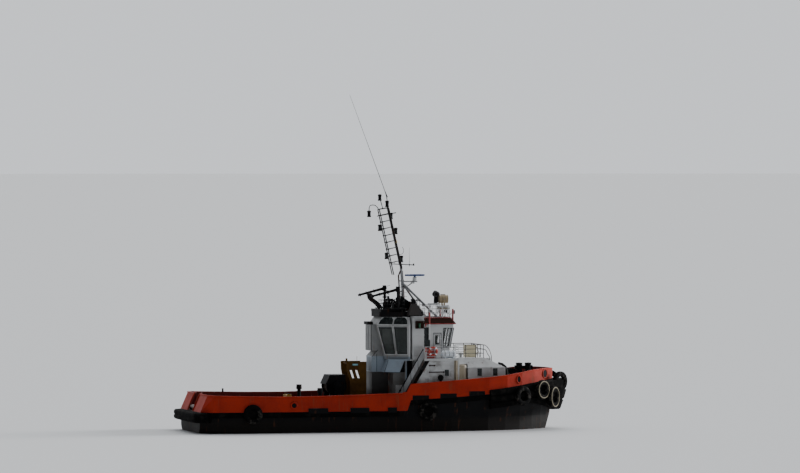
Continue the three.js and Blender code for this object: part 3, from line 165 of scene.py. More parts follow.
class Finish:
    """One material, with the coordinates and maths that its finish is made of"""

    def __init__(self, name):
        self.material = bpy.data.materials.new(name)
        self.material.use_nodes = True
        self.nodes = self.material.node_tree.nodes
        self.links = self.material.node_tree.links
        self.shader = self.nodes["Principled BSDF"]
        self.place = self.node("ShaderNodeTexCoord", output="Object")
        self.facing = self.node("ShaderNodeTexCoord", output="Normal")

    def connect(self, socket, value):
        if isinstance(value, Shade):
            self.links.new(value.socket, socket)
        elif socket.type == "RGBA" and len(value) == 3:
            socket.default_value = (*value, 1.0)
        else:
            socket.default_value = value

    def node(self, kind, settings=None, values=None, output=0):
        made = self.nodes.new(kind)
        for key, value in (settings or {}).items():
            setattr(made, key, value)
        for key, value in (values or {}).items():
            self.connect(made.inputs[key], value)
        return Shade(self, made.outputs[output])

    def maths(self, operation, *terms):
        values = dict(enumerate(terms))
        return self.node("ShaderNodeMath", {"operation": operation}, values)

    def blend(self, share, first, second):
        """A colour between two colours"""
        values = {0: share, 6: first, 7: second}
        return self.node("ShaderNodeMix", {"data_type": "RGBA"}, values, output=2)

    def axes(self, names, vector=None):
        values = {"Vector": vector or self.place}
        return [self.node("ShaderNodeSeparateXYZ", None, values, output=name) for name in names]

    def noise(self, scale, stretch=(1, 1, 1), detail=3.0, rough=0.55):
        moved = {"Vector": self.place, "Scale": stretch}
        place = self.node("ShaderNodeMapping", {"vector_type": "POINT"}, moved)
        values = {"Vector": place, "Scale": scale, "Detail": detail, "Roughness": rough}
        return self.node("ShaderNodeTexNoise", None, values)

    def streaks(self, fineness=5.0):
        """Marks that run down the sides"""
        return self.noise(1.0, (fineness, fineness, 0.35), 4.0, 0.6)

    def bump(self, height, strength, distance=0.02):
        values = {"Height": height, "Strength": strength, "Distance": distance}
        self.set(Normal=self.node("ShaderNodeBump", None, values))

    def set(self, **sockets):
        for name, value in sockets.items():
            self.connect(self.shader.inputs[name.replace("_", " ")], value)
        return self.material


RUST = (0.17, 0.055, 0.02)
GRIME = (0.06, 0.055, 0.05)
SOOT = (0.014, 0.012, 0.011)
SHADOW = (0.012, 0.01, 0.009)

# Plain paints: material, colour or its name in TugLook, rust, grime, roughness, colour of the dirt
PAINTS = {
    "white_paint": ("white_steel", "white", 0.75, 0.3, 0.45, GRIME),
    "cream_paint": ("cream_steel", (0.78, 0.7, 0.48), 0.7, 0.4, 0.5, GRIME),
    "grey_paint": ("grey_steel", "console", 0.45, 0.3, 0.5, GRIME),
    "black_paint": ("black_steel", (0.008, 0.008, 0.009), 0.25, 0.5, 0.55, SOOT),
    "mast_paint": ("mast_steel", (0.26, 0.27, 0.28), 0.7, 0.5, 0.5, GRIME),
    # Painted shade: the upper mast's paint, far darker than mast_paint, for a mast in shade
    "dark_mast": ("dark_mast_steel", (0.03, 0.028, 0.027), 0.5, 0.5, 0.5, SOOT),
    "dark_rail": ("rail_steel", (0.07, 0.065, 0.06), 0.6, 0.4, 0.5, GRIME),
    "rusty_brown": ("brown_steel", (0.035, 0.014, 0.01), 0.6, 0.4, 0.6, SOOT),
    "beige_paint": ("beige_steel", (0.33, 0.28, 0.2), 0.8, 0.4, 0.5, GRIME),
    "winch_paint": ("winch_steel", (0.13, 0.065, 0.014), 0.5, 0.6, 0.6, SOOT),
    "yellow_paint": ("yellow_steel", (0.5, 0.29, 0.035), 0.8, 0.4, 0.5, GRIME),
    "radar_paint": ("blue_steel", (0.02, 0.06, 0.2), 0.1, 0.2, 0.35, GRIME),
    "red_paint": ("red_steel", (0.3, 0.03, 0.03), 0.3, 0.3, 0.5, GRIME),
    "olive_paint": ("olive_enamel", (0.04, 0.045, 0.015), 0.1, 0.4, 0.55, SOOT),
}
LENSES = {
    "pale_yellow": (0.6, 0.5, 0.18),
    "pale_cyan": (0.2, 0.45, 0.5),
    "lamp_clear": (0.55, 0.56, 0.55),
    "lamp_red": (0.12, 0.01, 0.01),
    "lamp_green": (0.01, 0.06, 0.03),
}


def painted_steel(name, colour, rust, grime, rough=0.5, dirt=GRIME):
    """Weathered paint on steel: grime in patches, rust weeping down, plates a little uneven"""
    finish = Finish(name)
    if callable(colour):
        colour = colour(finish)
    patches = finish.noise(0.8, detail=5.0)
    fine = finish.noise(14.0, detail=6.0)
    dirty = finish.blend(patches.over(0.42, 0.35) * grime, colour, dirt)
    weeping = finish.streaks().over(0.56, 0.12) * patches.over(0.46, 0.16) * rust
    chips = fine.over(0.66, 0.05) * patches.over(0.5, 0.1) * rust
    rusty = finish.maths("MAXIMUM", weeping, chips)
    finish.bump(finish.noise(1.3, detail=2.0) + fine * 0.04, 0.25, 0.05)
    return finish.set(
        Base_Color=finish.blend(rusty, dirty, RUST),
        Roughness=(patches * 0.25 + (rough - 0.1)) + rusty * 0.25,
        Specular_IOR_Level=0.5 if dirt is GRIME else 0.06,
    )


def two_coats(low, high, edge, axis="Z"):
    """One paint below a place on an axis and another above it"""
    return lambda finish: finish.blend(finish.axes(axis)[0].over(edge, 0.02), low, high)


def hull_steel(look):
    """Black topsides, dulled towards the water, red below it, and the decks' own paint"""
    finish = Finish("hull_steel")
    height, = finish.axes("Z")
    up, = finish.axes("Z", finish.facing)
    patches = finish.noise(0.5, (1, 1, 2), 5.0)
    streaks = finish.streaks(3.5)
    fine = finish.noise(9.0, detail=6.0)
    black = finish.blend(streaks.over(0.5, 0.25) * 0.5, look.hull, (0.008, 0.006, 0.005))
    splashed = (height + patches * 0.4).under(0.95, 0.5)
    dull = finish.blend(splashed * 0.6, black, (0.01, 0.007, 0.005))
    weeping = streaks.over(0.57, 0.1) * patches.over(0.45, 0.15)
    rusty = finish.blend(weeping * 0.3, dull, RUST)
    below = (height + fine * 0.06).under(0.0, 0.05)
    bottom = finish.blend(patches.over(0.4, 0.3) * 0.5, look.antifouling, (0.05, 0.035, 0.03))
    sides = finish.blend(below, rusty, bottom)
    worn = finish.noise(1.6, detail=6.0).over(0.5, 0.18)
    deck = finish.blend(worn * 0.6, look.deck, (0.05, 0.035, 0.03))
    is_deck = up.over(0.8, 0.1) * height.over(1.4, 0.05)
    finish.bump(finish.noise(0.9, (1, 1, 1.6), 2.0) + fine * 0.05, 0.35, 0.06)
    return finish.set(
        Base_Color=finish.blend(is_deck, sides, deck),
        Roughness=patches * 0.3 + 0.5,
        Specular_IOR_Level=0.15,
    )


def bulwark_steel(look):
    """Orange outside with scuffs and rust, dark red inside"""
    finish = Finish("bulwark_steel")
    along, across = finish.axes("XY")
    face_x, face_y = finish.axes("XY", finish.facing)
    outside = (along * face_x * 0.12 + across * face_y * 0.3).over(-0.05, 0.1)
    patches = finish.noise(0.7, detail=5.0)
    streaks = finish.streaks(4.0)
    fine = finish.noise(7.0, (1, 1, 3), 6.0)
    faded = finish.blend(patches.over(0.35, 0.4) * 0.55, look.band, (0.2, 0.01, 0.002))
    paint = finish.blend(outside, look.band_inside, faded)
    scuffs = fine.over(0.58, 0.1) * streaks.under(0.35, 0.3) * 0.7
    scuffed = finish.blend(scuffs, paint, (0.07, 0.01, 0.005))
    weeping = streaks.over(0.56, 0.1) * patches.over(0.42, 0.2) * 0.5
    finish.bump(finish.noise(1.1, detail=2.0) + fine * 0.05, 0.35, 0.05)
    return finish.set(
        Base_Color=finish.blend(weeping, scuffed, RUST),
        Roughness=patches * 0.3 + 0.45,
        Specular_IOR_Level=0.2,
    )


def fender_rubber(look):
    """Black rubber, greyed where it rubs"""
    finish = Finish("fender_rubber")
    patches = finish.noise(1.7, detail=5.0)
    fine = finish.noise(22.0, detail=4.0)
    rubbed = finish.blend(patches.over(0.48, 0.2) * 0.6, look.rubber, (0.016, 0.014, 0.013))
    salt = fine.over(0.62, 0.08) * patches.over(0.5, 0.15) * 0.4
    finish.bump(fine + patches, 0.5, 0.02)
    return finish.set(
        Base_Color=finish.blend(salt, rubbed, (0.05, 0.045, 0.04)),
        Roughness=0.95 - patches * 0.25,
        Specular_IOR_Level=0.03,
    )


def tyre_sidewall(look):
    """Old tyre rubber, bleached by sun and salt"""
    finish = Finish("tyre_sidewall")
    patches = finish.noise(3.0, detail=4.0)
    fine = finish.noise(30.0, detail=3.0)
    bleached = finish.blend(patches.over(0.5, 0.2), look.rubber, look.sidewall)
    finish.bump(fine, 0.4, 0.01)
    return finish.set(Base_Color=bleached, Roughness=0.9 - fine * 0.2, Specular_IOR_Level=0.05)


def sunlit_rim_rubber(look):
    """Painted highlight: the sunlit rim of a tyre, pale and yellowish"""
    finish = Finish("sunlit_rim_rubber")
    patches = finish.noise(4.0, detail=4.0)
    # Painted highlight: the pale yellowish tones stand for sunlight on the rim
    pale = finish.blend(patches, (0.32, 0.27, 0.17), (0.14, 0.12, 0.08))
    finish.bump(finish.noise(30.0, detail=3.0), 0.4, 0.01)
    return finish.set(Base_Color=pale, Roughness=patches * 0.2 + 0.5)


def house_steel(look):
    """White, darker in patches aft, with painted shade in the stair wells, on the walls under the console and
    the stairs, and on the narrow casing under the console
    """

    def colour(finish):
        along, across = finish.axes("XY")
        off = finish.maths("ABSOLUTE", across)
        inner = off.over(2.25, 0.02)
        # Painted shade: the walls in the stair wells are made dark
        stair_well_shade = inner * off.under(3.57, 0.02) * along.under(3.5, 0.02)
        # Painted shade on the walls under the console and the stairs
        shaded = along.under(2.3, 0.6) * off.under(2.25, 0.02) * 0.75
        with_painted_shade = finish.blend(shaded, look.white, (0.06, 0.06, 0.058))
        # Painted shade on the casing under the console, as dark as the wells
        dark = finish.maths("MAXIMUM", stair_well_shade, along.under(0.85, 0.02))
        patches = finish.noise(1.1, (1, 1, 1.6), 6.0)
        # Darker in patches aft of x 5.1
        aft_darkening = patches.over(0.4, 0.3) * along.under(5.1, 0.4) * 0.75
        # The white with its painted shade and its darker patches aft
        stained = finish.blend(aft_darkening, with_painted_shade, (0.13, 0.115, 0.1))
        return finish.blend(dark, stained, SHADOW)

    return painted_steel("house_steel", colour, rust=1.0, grime=0.35, rough=0.45)


def boat_deck_steel(look):
    """White, with the console's paint along the aft edge"""
    colour = two_coats(look.console, look.white, 2.1, "X")
    return painted_steel("boat_deck_steel", colour, rust=0.7, grime=0.3)


def funnel_steel(look):
    """White below and black at the top, with soot towards the uptakes"""
    finish = Finish("funnel_steel")
    height, = finish.axes("Z")
    patches = finish.noise(0.9, detail=5.0)
    streaks = finish.streaks()
    soot = height.over(7.4, 1.6) * patches.over(0.3, 0.4) * 0.5
    white = finish.blend(soot, look.white, GRIME)
    weeping = streaks.over(0.56, 0.12) * patches.over(0.44, 0.18) * 0.7
    stained = finish.blend(weeping, white, RUST)
    black = finish.blend(streaks, (0.012, 0.012, 0.012), (0.04, 0.03, 0.027))
    finish.bump(finish.noise(1.3, detail=2.0), 0.25, 0.05)
    return finish.set(
        Base_Color=finish.blend(height.over(8.84, 0.02), stained, black),
        Roughness=patches * 0.25 + 0.4,
    )


def console_steel(look):
    """The paint of the aft console, with the white above the boat deck darkened as painted shade"""
    # Painted shade: the white above 5.7 is a dark grey
    colour = two_coats(look.console, (0.25, 0.26, 0.26), 5.7)
    return painted_steel("console_steel", colour, rust=0.4, grime=0.3)


def wheelhouse_steel(look):
    """White outside, console paint on the foot of the bay, painted shade on the faces that look aft and on
    the walls inside
    """

    def colour(finish):
        along, off, height = finish.axes("XYZ")
        facing_x, facing_y = finish.axes("XY", finish.facing)
        bay = along.under(2.2, 0.02) * height.under(5.7, 0.02)
        outside = finish.blend(bay, look.white, look.console)
        # Painted shade: the faces that look aft are darkened
        with_painted_shade = finish.blend(facing_x.under(-0.5, 0.5) * 0.6, outside, (0.09, 0.09, 0.088))
        # Painted shade on the walls inside, the faces that look inwards
        inward = ((along - 2.6) * facing_x + off * facing_y * 1.5).under(-0.1, 0.05)
        return finish.blend(inward, with_painted_shade, (0.035, 0.035, 0.033))

    return painted_steel("wheelhouse_steel", colour, rust=0.6, grime=0.3)


def stair_steel(look):
    """Grey, with a painted shadow in black along the lower edge of the sides"""

    def colour(finish):
        along, height = finish.axes("XZ")
        # Painted shadow: black below a line that runs with the stairs' slope
        below = along * 1.75 - height
        return finish.blend(below.over(-0.31, 0.02), (0.34, 0.35, 0.36), SHADOW)

    return painted_steel("stair_steel", colour, rust=0.7, grime=0.4)


def roof_stand_steel(look):
    """White legs and table, black gear on top"""
    colour = two_coats(look.white, (0.015, 0.015, 0.016), 9.77)
    return painted_steel("roof_stand_steel", colour, rust=0.5, grime=0.3)


def searchlight_steel(look):
    """White legs and a beige lamp"""
    colour = two_coats(look.white, (0.4, 0.31, 0.18), 9.56)
    return painted_steel("searchlight_steel", colour, rust=0.6, grime=0.3)


def bottom_steel(look):
    """Antifouling, with slime and bare patches"""
    finish = Finish("bottom_steel")
    patches = finish.noise(1.4, detail=6.0)
    fine = finish.noise(18.0, detail=4.0)
    slimed = finish.blend(patches.over(0.45, 0.2) * 0.7, look.antifouling, (0.05, 0.05, 0.035))
    finish.bump(fine + patches, 0.3, 0.02)
    return finish.set(Base_Color=slimed, Roughness=0.75 + fine * 0.2)


def cast_bronze(look):
    finish = Finish("cast_bronze")
    patches = finish.noise(4.0, detail=5.0)
    finish.bump(finish.noise(40.0), 0.15, 0.005)
    colour = finish.blend(patches.over(0.45, 0.2) * 0.7, (0.45, 0.28, 0.1), (0.16, 0.15, 0.08))
    return finish.set(Base_Color=colour, Metallic=0.9, Roughness=patches * 0.3 + 0.25)


def bare_steel(look):
    """Steel that rope keeps bright, with rust round it"""
    finish = Finish("bare_steel")
    patches = finish.noise(3.0, (1, 3, 1), 5.0)
    rusty = patches.over(0.5, 0.15)
    colour = finish.blend(rusty, (0.09, 0.085, 0.08), RUST)
    finish.bump(finish.noise(25.0, (1, 4, 1)), 0.2, 0.005)
    return finish.set(Base_Color=colour, Metallic=0.85 - rusty * 0.6, Roughness=patches * 0.4 + 0.25)


def window_glass(look):
    """Tinted glass that lets the inside show a little, more at the wheelhouse's front"""
    finish = Finish("window_glass")
    haze = finish.noise(3.0, detail=4.0)
    finish.material.surface_render_method = "DITHERED"
    along, = finish.axes("X")
    return finish.set(
        IOR=1.5,
        Alpha=(0.35 + haze * 0.15) * (1 - along.over(4.4, 0.05) * 0.5),
        Base_Color=finish.blend(haze, look.glass, (0.03, 0.045, 0.04)),
        Roughness=haze * 0.12 + 0.04,
    )


def dark_glass(look):
    """Small windows with darkness behind them"""
    finish = Finish("dark_glass")
    haze = finish.noise(5.0, detail=4.0)
    return finish.set(
        Base_Color=finish.blend(haze.over(0.4, 0.3), (0.008, 0.011, 0.012), (0.03, 0.04, 0.04)),
        Roughness=haze * 0.15 + 0.05,
        Specular_IOR_Level=0.25,
    )


def chair_leather(look):
    finish = Finish("chair_leather")
    grain = finish.noise(90.0, detail=2.0)
    finish.bump(grain, 0.3, 0.003)
    worn = finish.blend(grain, (0.012, 0.012, 0.013), (0.035, 0.033, 0.03))
    return finish.set(Base_Color=worn, Roughness=0.5 + grain * 0.2)


def gelcoat(look):
    finish = Finish("gelcoat")
    patches = finish.noise(2.5, detail=4.0)
    colour = finish.blend(patches.over(0.45, 0.3) * 0.1, (0.86, 0.91, 0.97), GRIME)
    stained = finish.blend(finish.streaks(9.0).over(0.6, 0.1) * 0.3, colour, (0.25, 0.15, 0.07))
    finish.bump(finish.noise(30.0), 0.08, 0.004)
    return finish.set(Base_Color=stained, Roughness=patches * 0.3 + 0.22)


def orange_plastic(look):
    finish = Finish("orange_plastic")
    patches = finish.noise(6.0, detail=4.0)
    finish.bump(finish.noise(50.0), 0.15, 0.003)
    colour = finish.blend(patches, (0.55, 0.06, 0.03), (0.38, 0.04, 0.03))
    return finish.set(Base_Color=colour, Roughness=patches * 0.2 + 0.4)


def rope_fibre(look):
    """Laid rope, weathered"""
    finish = Finish("rope_fibre")
    patches = finish.noise(5.0, detail=4.0)
    lay = finish.node(
        "ShaderNodeTexWave",
        {"wave_type": "BANDS", "bands_direction": "DIAGONAL"},
        {"Vector": finish.place, "Scale": 9.0, "Distortion": 1.5, "Detail": 2.0},
        output=1,
    )
    finish.bump(lay, 0.6, 0.02)
    shade = finish.blend(lay * 0.6, (0.16, 0.14, 0.12), (0.05, 0.045, 0.04))
    return finish.set(
        Base_Color=finish.blend(patches.over(0.4, 0.3) * 0.6, shade, (0.03, 0.035, 0.05)),
        Roughness=0.85 + patches * 0.1,
    )


def lamp_lens(name, colour):
    finish = Finish(name)
    ribs = finish.noise(12.0, (0.2, 0.2, 4.0))
    finish.bump(ribs, 0.3, 0.004)
    bright = tuple(share * 1.5 for share in colour)
    return finish.set(Base_Color=finish.blend(ribs, colour, bright), Roughness=ribs * 0.1 + 0.08)


FINISHES = {
    "hull_paint": hull_steel,
    "bulwark_paint": bulwark_steel,
    "fender_rubber": fender_rubber,
    "underwater_paint": bottom_steel,
    "bronze": cast_bronze,
    "window_glass": window_glass,
    "chair_leather": chair_leather,
    "gelcoat": gelcoat,
    "bare_steel": bare_steel,
    "tyre": tyre_sidewall,
    "sunlit_rim_rubber": sunlit_rim_rubber,
    "dark_glass": dark_glass,
    "orange_plastic": orange_plastic,
    "rope": rope_fibre,
    "funnel": funnel_steel,
    "house": house_steel,
    "boat_deck": boat_deck_steel,
    "console": console_steel,
    "wheelhouse": wheelhouse_steel,
    "stairs": stair_steel,
    "roof_stand": roof_stand_steel,
    "searchlight": searchlight_steel,
}
# Nodes whose finish has more to it than the name of their paint
NODE_FINISHES = {
    "deckhouse": "house",
    "boat_deck": "boat_deck",
    "wheelhouse": "wheelhouse",
    "wheelhouse_bay": "wheelhouse",
    "vent_box": "cream_paint",
    "funnel_port": "funnel",
    "funnel_starboard": "funnel",
    "aft_console": "console",
    "roof_fore": "rusty_brown",
    "roof_stand": "roof_stand",
    "searchlight": "searchlight",
    # Painted shade: the upper mast's dark paint
    "mast_upper": "dark_mast",
    "stairs_port": "stairs",
    "stairs_starboard": "stairs",
}
# Materials made so far, by the name of their finish. Finishes that stand in the slot of
# another paint
MADE = {}


def finish_called(name):
    """The material of a finish, made when it is first asked for"""
    look = bpy.context.scene.tug_look
    if name in MADE:
        return MADE[name]
    if name in PAINTS:
        material, colour, *weather = PAINTS[name]
        colour = getattr(look, colour) if isinstance(colour, str) else colour
        MADE[name] = painted_steel(material, colour, *weather)
    elif name in LENSES:
        MADE[name] = lamp_lens(name, LENSES[name])
    else:
        MADE[name] = FINISHES[name](look)
    return MADE[name]


AXIS_RADIUS = 0.001  # where a turned form closes on its axis
SHARPEST_CORNER = 0.2  # a border's corners are cut short below this squared sine


class Shape:
    """A mesh built up from simple closed forms, in the boat's frame"""

    def __init__(self):
        self.points = []
        self.faces = []

    def add(self, points, faces):
        start = len(self.points)
        self.points += [tuple(point) for point in points]
        self.faces += [[start + corner for corner in face] for face in faces]

    def loft(self, rings, capped=True, closed=False):
        count = len(rings[0])
        last = len(rings) if closed else len(rings) - 1
        faces = []
        for i in range(last):
            j = (i + 1) % len(rings)
            for k in range(count):
                n = (k + 1) % count
                faces.append([i * count + k, i * count + n, j * count + n, j * count + k])
        if capped and not closed:
            faces.append(list(range(count))[::-1])
            faces.append([(len(rings) - 1) * count + k for k in range(count)])
        self.add([point for ring in rings for point in ring], faces)

    def block(self, low, high):
        ring = [(low[0], low[1]), (high[0], low[1]), (high[0], high[1]), (low[0], high[1])]
        self.loft([at_height(ring, z) for z in (low[2], high[2])])

    def plate(self, outline, low, high):
        """An (x, z) outline carried across the boat between two distances along y"""
        self.loft([[(x, y, z) for x, z in outline] for y in (low, high)])

    def rod(self, a, b, radius, sides=10, end=None):
        self.pipe([a, b], radius, sides, end)

    def pipe(self, points, radius, sides=10, end=None, closed=False):
        points = [Vector(point) for point in points]
        rings = []
        side = None
        for i, point in enumerate(points):
            before = points[i - 1] if (i or closed) else point
            after = points[(i + 1) % len(points)] if (i + 1 < len(points) or closed) else point
            along = (after - before).normalized()
            if side is None:
                side = along.orthogonal().normalized()
            side = (side - along * side.dot(along)).normalized()
            up = along.cross(side)
            share = i / (len(points) - 1)
            size = radius + ((radius if end is None else end) - radius) * share
            rings.append([point + (side * math.cos(t) + up * math.sin(t)) * size for t in turns(sides)])
        self.loft(rings, closed=closed)

    def bend(self, points, radius, sides=10, steps=4):
        """A pipe along a smooth curve through points"""
        self.pipe(smooth_run(points, steps), radius, sides)

    def ring(self, centre, axis, radius, thick, count=28, sides=8):
        axis = Vector(axis).normalized()
        side = axis.orthogonal().normalized()
        up = axis.cross(side)
        points = [Vector(centre) + (side * math.cos(t) + up * math.sin(t)) * radius for t in turns(count)]
        self.pipe(points, thick, sides, closed=True)

    def lathe(self, centre, outline, tip=None, axis=UP, count=24):
        """Turns (radius, along) points round an axis, and closes them on it, at the tip if given"""
        axis = Vector(axis).normalized()
        side = axis.orthogonal().normalized()
        up = axis.cross(side)
        end = outline[-1][1] if tip is None else tip
        closed = [(AXIS_RADIUS, outline[0][1]), *outline, (AXIS_RADIUS, end)]
        self.loft([
            [Vector(centre) + axis * along + (side * math.cos(t) + up * math.sin(t)) * radius
             for t in turns(count)]
            for radius, along in closed
        ])

    def disc(self, centre, axis, radius, low, high, count=24):
        self.lathe(centre, [(radius, low), (radius, high)], axis=axis, count=count)

    def slab(self, corners, thick, out=0.0):
        """A plate on a four-cornered or longer face, standing out from it"""
        corners = [Vector(corner) for corner in corners]
        normal = face_normal(corners)
        self.loft([[corner + normal * rise for corner in corners] for rise in (out, out + thick)])

    def border(self, corners, width, thick, out=0.0):
        """A raised border round a face"""
        corners = [Vector(corner) for corner in corners]
        normal = face_normal(corners)
        grown = []
        for i, corner in enumerate(corners):
            before = (corners[i - 1] - corner).normalized()
            after = (corners[(i + 1) % len(corners)] - corner).normalized()
            slant = math.sqrt(max(1 - before.dot(after) ** 2, SHARPEST_CORNER))
            grown.append(corner - (before + after) * (width / slant))
        section = ((corners, out), (grown, out), (grown, out + thick), (corners, out + thick))
        self.loft([[corner + normal * rise for corner in ring] for ring, rise in section], closed=True)

    def both_sides(self):
        """Repeats everything so far on the other side of the centreline"""
        self.add([mirrored(point) for point in self.points], [face[::-1] for face in self.faces])
        return self


def turns(count):
    return [2 * math.pi * k / count for k in range(count)]


def face_normal(corners):
    return (corners[1] - corners[0]).cross(corners[-1] - corners[0]).normalized()


def mirrored(point):
    x, y, z = point
    return x, -y, z


def at_height(outline, z):
    return [(x, y, z) for x, y in outline]


def square(x, y, half_x, half_y):
    return [(x - half_x, y - half_y), (x + half_x, y - half_y),
            (x + half_x, y + half_y), (x - half_x, y + half_y)]


def make(name, shape, finish, body="ship", smooth=35, bevel=0.0, replaces=()):
    """Turns a shape into a piece that rides on a body, in the paint slot of its finish"""
    mesh = bpy.data.meshes.new(name)
    mesh.from_pydata(shape.points, [], shape.faces)
    mesh.materials.append(finish_called(finish))
    mesh.validate()
    form = bmesh.new()
    form.from_mesh(mesh)
    bmesh.ops.recalc_face_normals(form, faces=form.faces)
    form.to_mesh(mesh)
    form.free()
    mesh.shade_smooth()
    mesh.set_sharp_from_angle(angle=math.radians(smooth))
    piece = bpy.data.objects.new(name, mesh)
    bpy.context.scene.collection.objects.link(piece)
    if bevel:
        rounding = piece.modifiers.new("Rounded edges", "BEVEL")
        rounding.width = bevel
        rounding.segments = 2
        rounding.limit_method = "ANGLE"
    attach(piece, body)
    if replaces:
        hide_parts(*replaces)
    return piece


def edge_run(first, last, level, out=0.0):
    """Points along the port deck edge between two places along x, moved outwards"""
    rows = [row for row in DECK_EDGE if first <= row[0] <= last]
    points = []
    for i, row in enumerate(rows):
        before = rows[max(i - 1, 0)]
        after = rows[min(i + 1, len(rows) - 1)]
        along = Vector((after[0] - before[0], after[1] - before[1])).normalized()
        points.append((row[0] - along.y * out, row[1] + along.x * out, level(row)))
    return points


def edge_at(x):
    """The deck edge row at any place along x"""
    for low, high in zip(DECK_EDGE, DECK_EDGE[1:]):
        if low[0] <= x <= high[0]:
            share = (x - low[0]) / (high[0] - low[0])
            return tuple(a + (b - a) * share for a, b in zip(low, high))
    return DECK_EDGE[0] if x < DECK_EDGE[0][0] else DECK_EDGE[-1]


def bulwark_y(x):
    """How far out the bulwark's outer face stands"""
    return edge_at(x)[1] + (BULWARK_THICK if x < STEP_X else 0.0)


def smooth_run(points, steps=4):
    """A smooth curve through points"""
    points = [Vector(point) for point in points]
    made = []
    for i in range(len(points) - 1):
        p0 = points[max(i - 1, 0)]
        p1, p2 = points[i], points[i + 1]
        p3 = points[min(i + 2, len(points) - 1)]
        for k in range(steps):
            t = k / steps
            made.append(0.5 * (2 * p1 + (p2 - p0) * t + (2 * p0 - 5 * p1 + 4 * p2 - p3) * t * t
                               + (3 * p1 - p0 - 3 * p2 + p3) * t ** 3))
    made.append(points[-1])
    return made


class TugLook(bpy.types.PropertyGroup):
    """The boat's colours"""

    def colour(title, words, default):
        return bpy.props.FloatVectorProperty(
            name=title, description=words, default=default, subtype="COLOR", size=3, min=0, max=1)

    hull: colour("Hull", "Paint of the topsides", (0.003, 0.003, 0.0035))
    band: colour("Bulwark", "Paint of the bulwark outside", (0.4, 0.018, 0.002))
    band_inside: colour("Bulwark inside", "Paint of the bulwark inside", (0.16, 0.02, 0.018))
    deck: colour("Deck", "Paint of the open decks", (0.07, 0.03, 0.022))
    antifouling: colour("Antifouling", "Paint below the water", (0.2, 0.03, 0.022))
    rubber: colour("Rubber", "Fenders and tyres", (0.004, 0.004, 0.004))
    sidewall: colour("Tyre side", "Sun-bleached tyre sides", (0.05, 0.045, 0.04))
    white: colour("Houses", "Paint of houses and rails", (0.58, 0.59, 0.59))
    console: colour("Console", "Paint of the aft console", (0.3, 0.37, 0.44))
    glass: colour("Glass", "Tint of the windows", (0.01, 0.018, 0.016))


class TugSize(bpy.types.PropertyGroup):
    """Sizes that a user may change"""

    def length(title, words, default):
        return bpy.props.FloatProperty(name=title, description=words, default=default, unit="LENGTH")

    rail_pipe: length("Rail pipe", "Radius of the rails' pipes", 0.028)
    cap_pipe: length("Bulwark cap", "Radius of the pipe on the bulwark", 0.055)
    camera_distance: length("Camera distance", "From the boat, level", 420.0)
    camera_height: length("Camera height", "Above the water", 20.5)
    floor_reach: length("Floor", "Half width of the floor", 12000.0)


class TUG_OT_paint(bpy.types.Operator):
    """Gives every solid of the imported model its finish"""

    bl_idname = "tug.paint"
    bl_label = "Paint the solids"

    def execute(self, context):
        for part in frame["record"]["subparts"]:
            node = frame["nodes"][part["node"]]
            name = NODE_FINISHES.get(part["node"], part["material_slot"])
            for place in node.material_slots:
                place.material = finish_called(name)
        return {"FINISHED"}


# Middle of each bow tyre, the way it faces in degrees, its radius
BOW_TYRES = [
    ((10.75, 4.27, 2.66), 62, 0.76),
    ((12.55, 3.42, 3.09), 54, 0.76),
    ((13.67, 2.6, 2.48), 39, 0.88),
    ((14.5, 1.49, 3.65), 55, 0.77),
]
SIDE_TYRES = [((-10.7, 4.7, 1.48), 90, 0.74), ((3.1, 4.7, 1.6), 90, 0.74)]
TYRE_HALF_WIDTH = 0.1748


def tyre(shape, place, facing, radius):
    """A tyre hung flat: sidewalls with a bead at the hole, shoulders and a ribbed tread"""
    turn = math.radians(facing)
    direction = Vector((math.cos(turn), math.sin(turn), 0))
    hole, half = radius * 0.52, TYRE_HALF_WIDTH
    sidewall = [
        (hole, half * 0.7), (hole + 0.04, half * 0.95), (radius * 0.72, half), (radius * 0.9, half * 0.94),
        (radius * 0.985, half * 0.7), (radius, half * 0.45), (radius * 0.975, half * 0.38),
        (radius * 0.975, half * 0.3), (radius, half * 0.24),
    ]
    outline = [(hole, -half * 0.7), *sidewall, *[(r, -a) for r, a in reversed(sidewall[1:])]]
    up = direction.cross(UP)
    rings = []
    for t in turns(36):
        out = UP * math.cos(t) + up * math.sin(t)
        rings.append([Vector(place) + out * r + direction * a for r, a in outline])
    shape.loft(rings, closed=True)


def belt_run(first, last, level):
    """Places along the deck edge: x, y, middle height, outward x, outward y"""
    base = smooth_run(edge_run(first, last, level), 3)
    run = []
    for i, point in enumerate(base):
        before, after = base[max(i - 1, 0)], base[min(i + 1, len(base) - 1)]
        along = Vector((after.x - before.x, after.y - before.y)).normalized()
        run.append((point.x, point.y, point.z, -along.y, along.x))
    return run


def belt_ring(place, section):
    """An (outwards, upwards) section set up at one place of a run"""
    x, y, z, nx, ny = place
    return [(x + nx * out, y + ny * out, z + up) for out, up in section]


def other_side(run):
    return [(x, -y, z, nx, -ny) for x, y, z, nx, ny in reversed(run)]


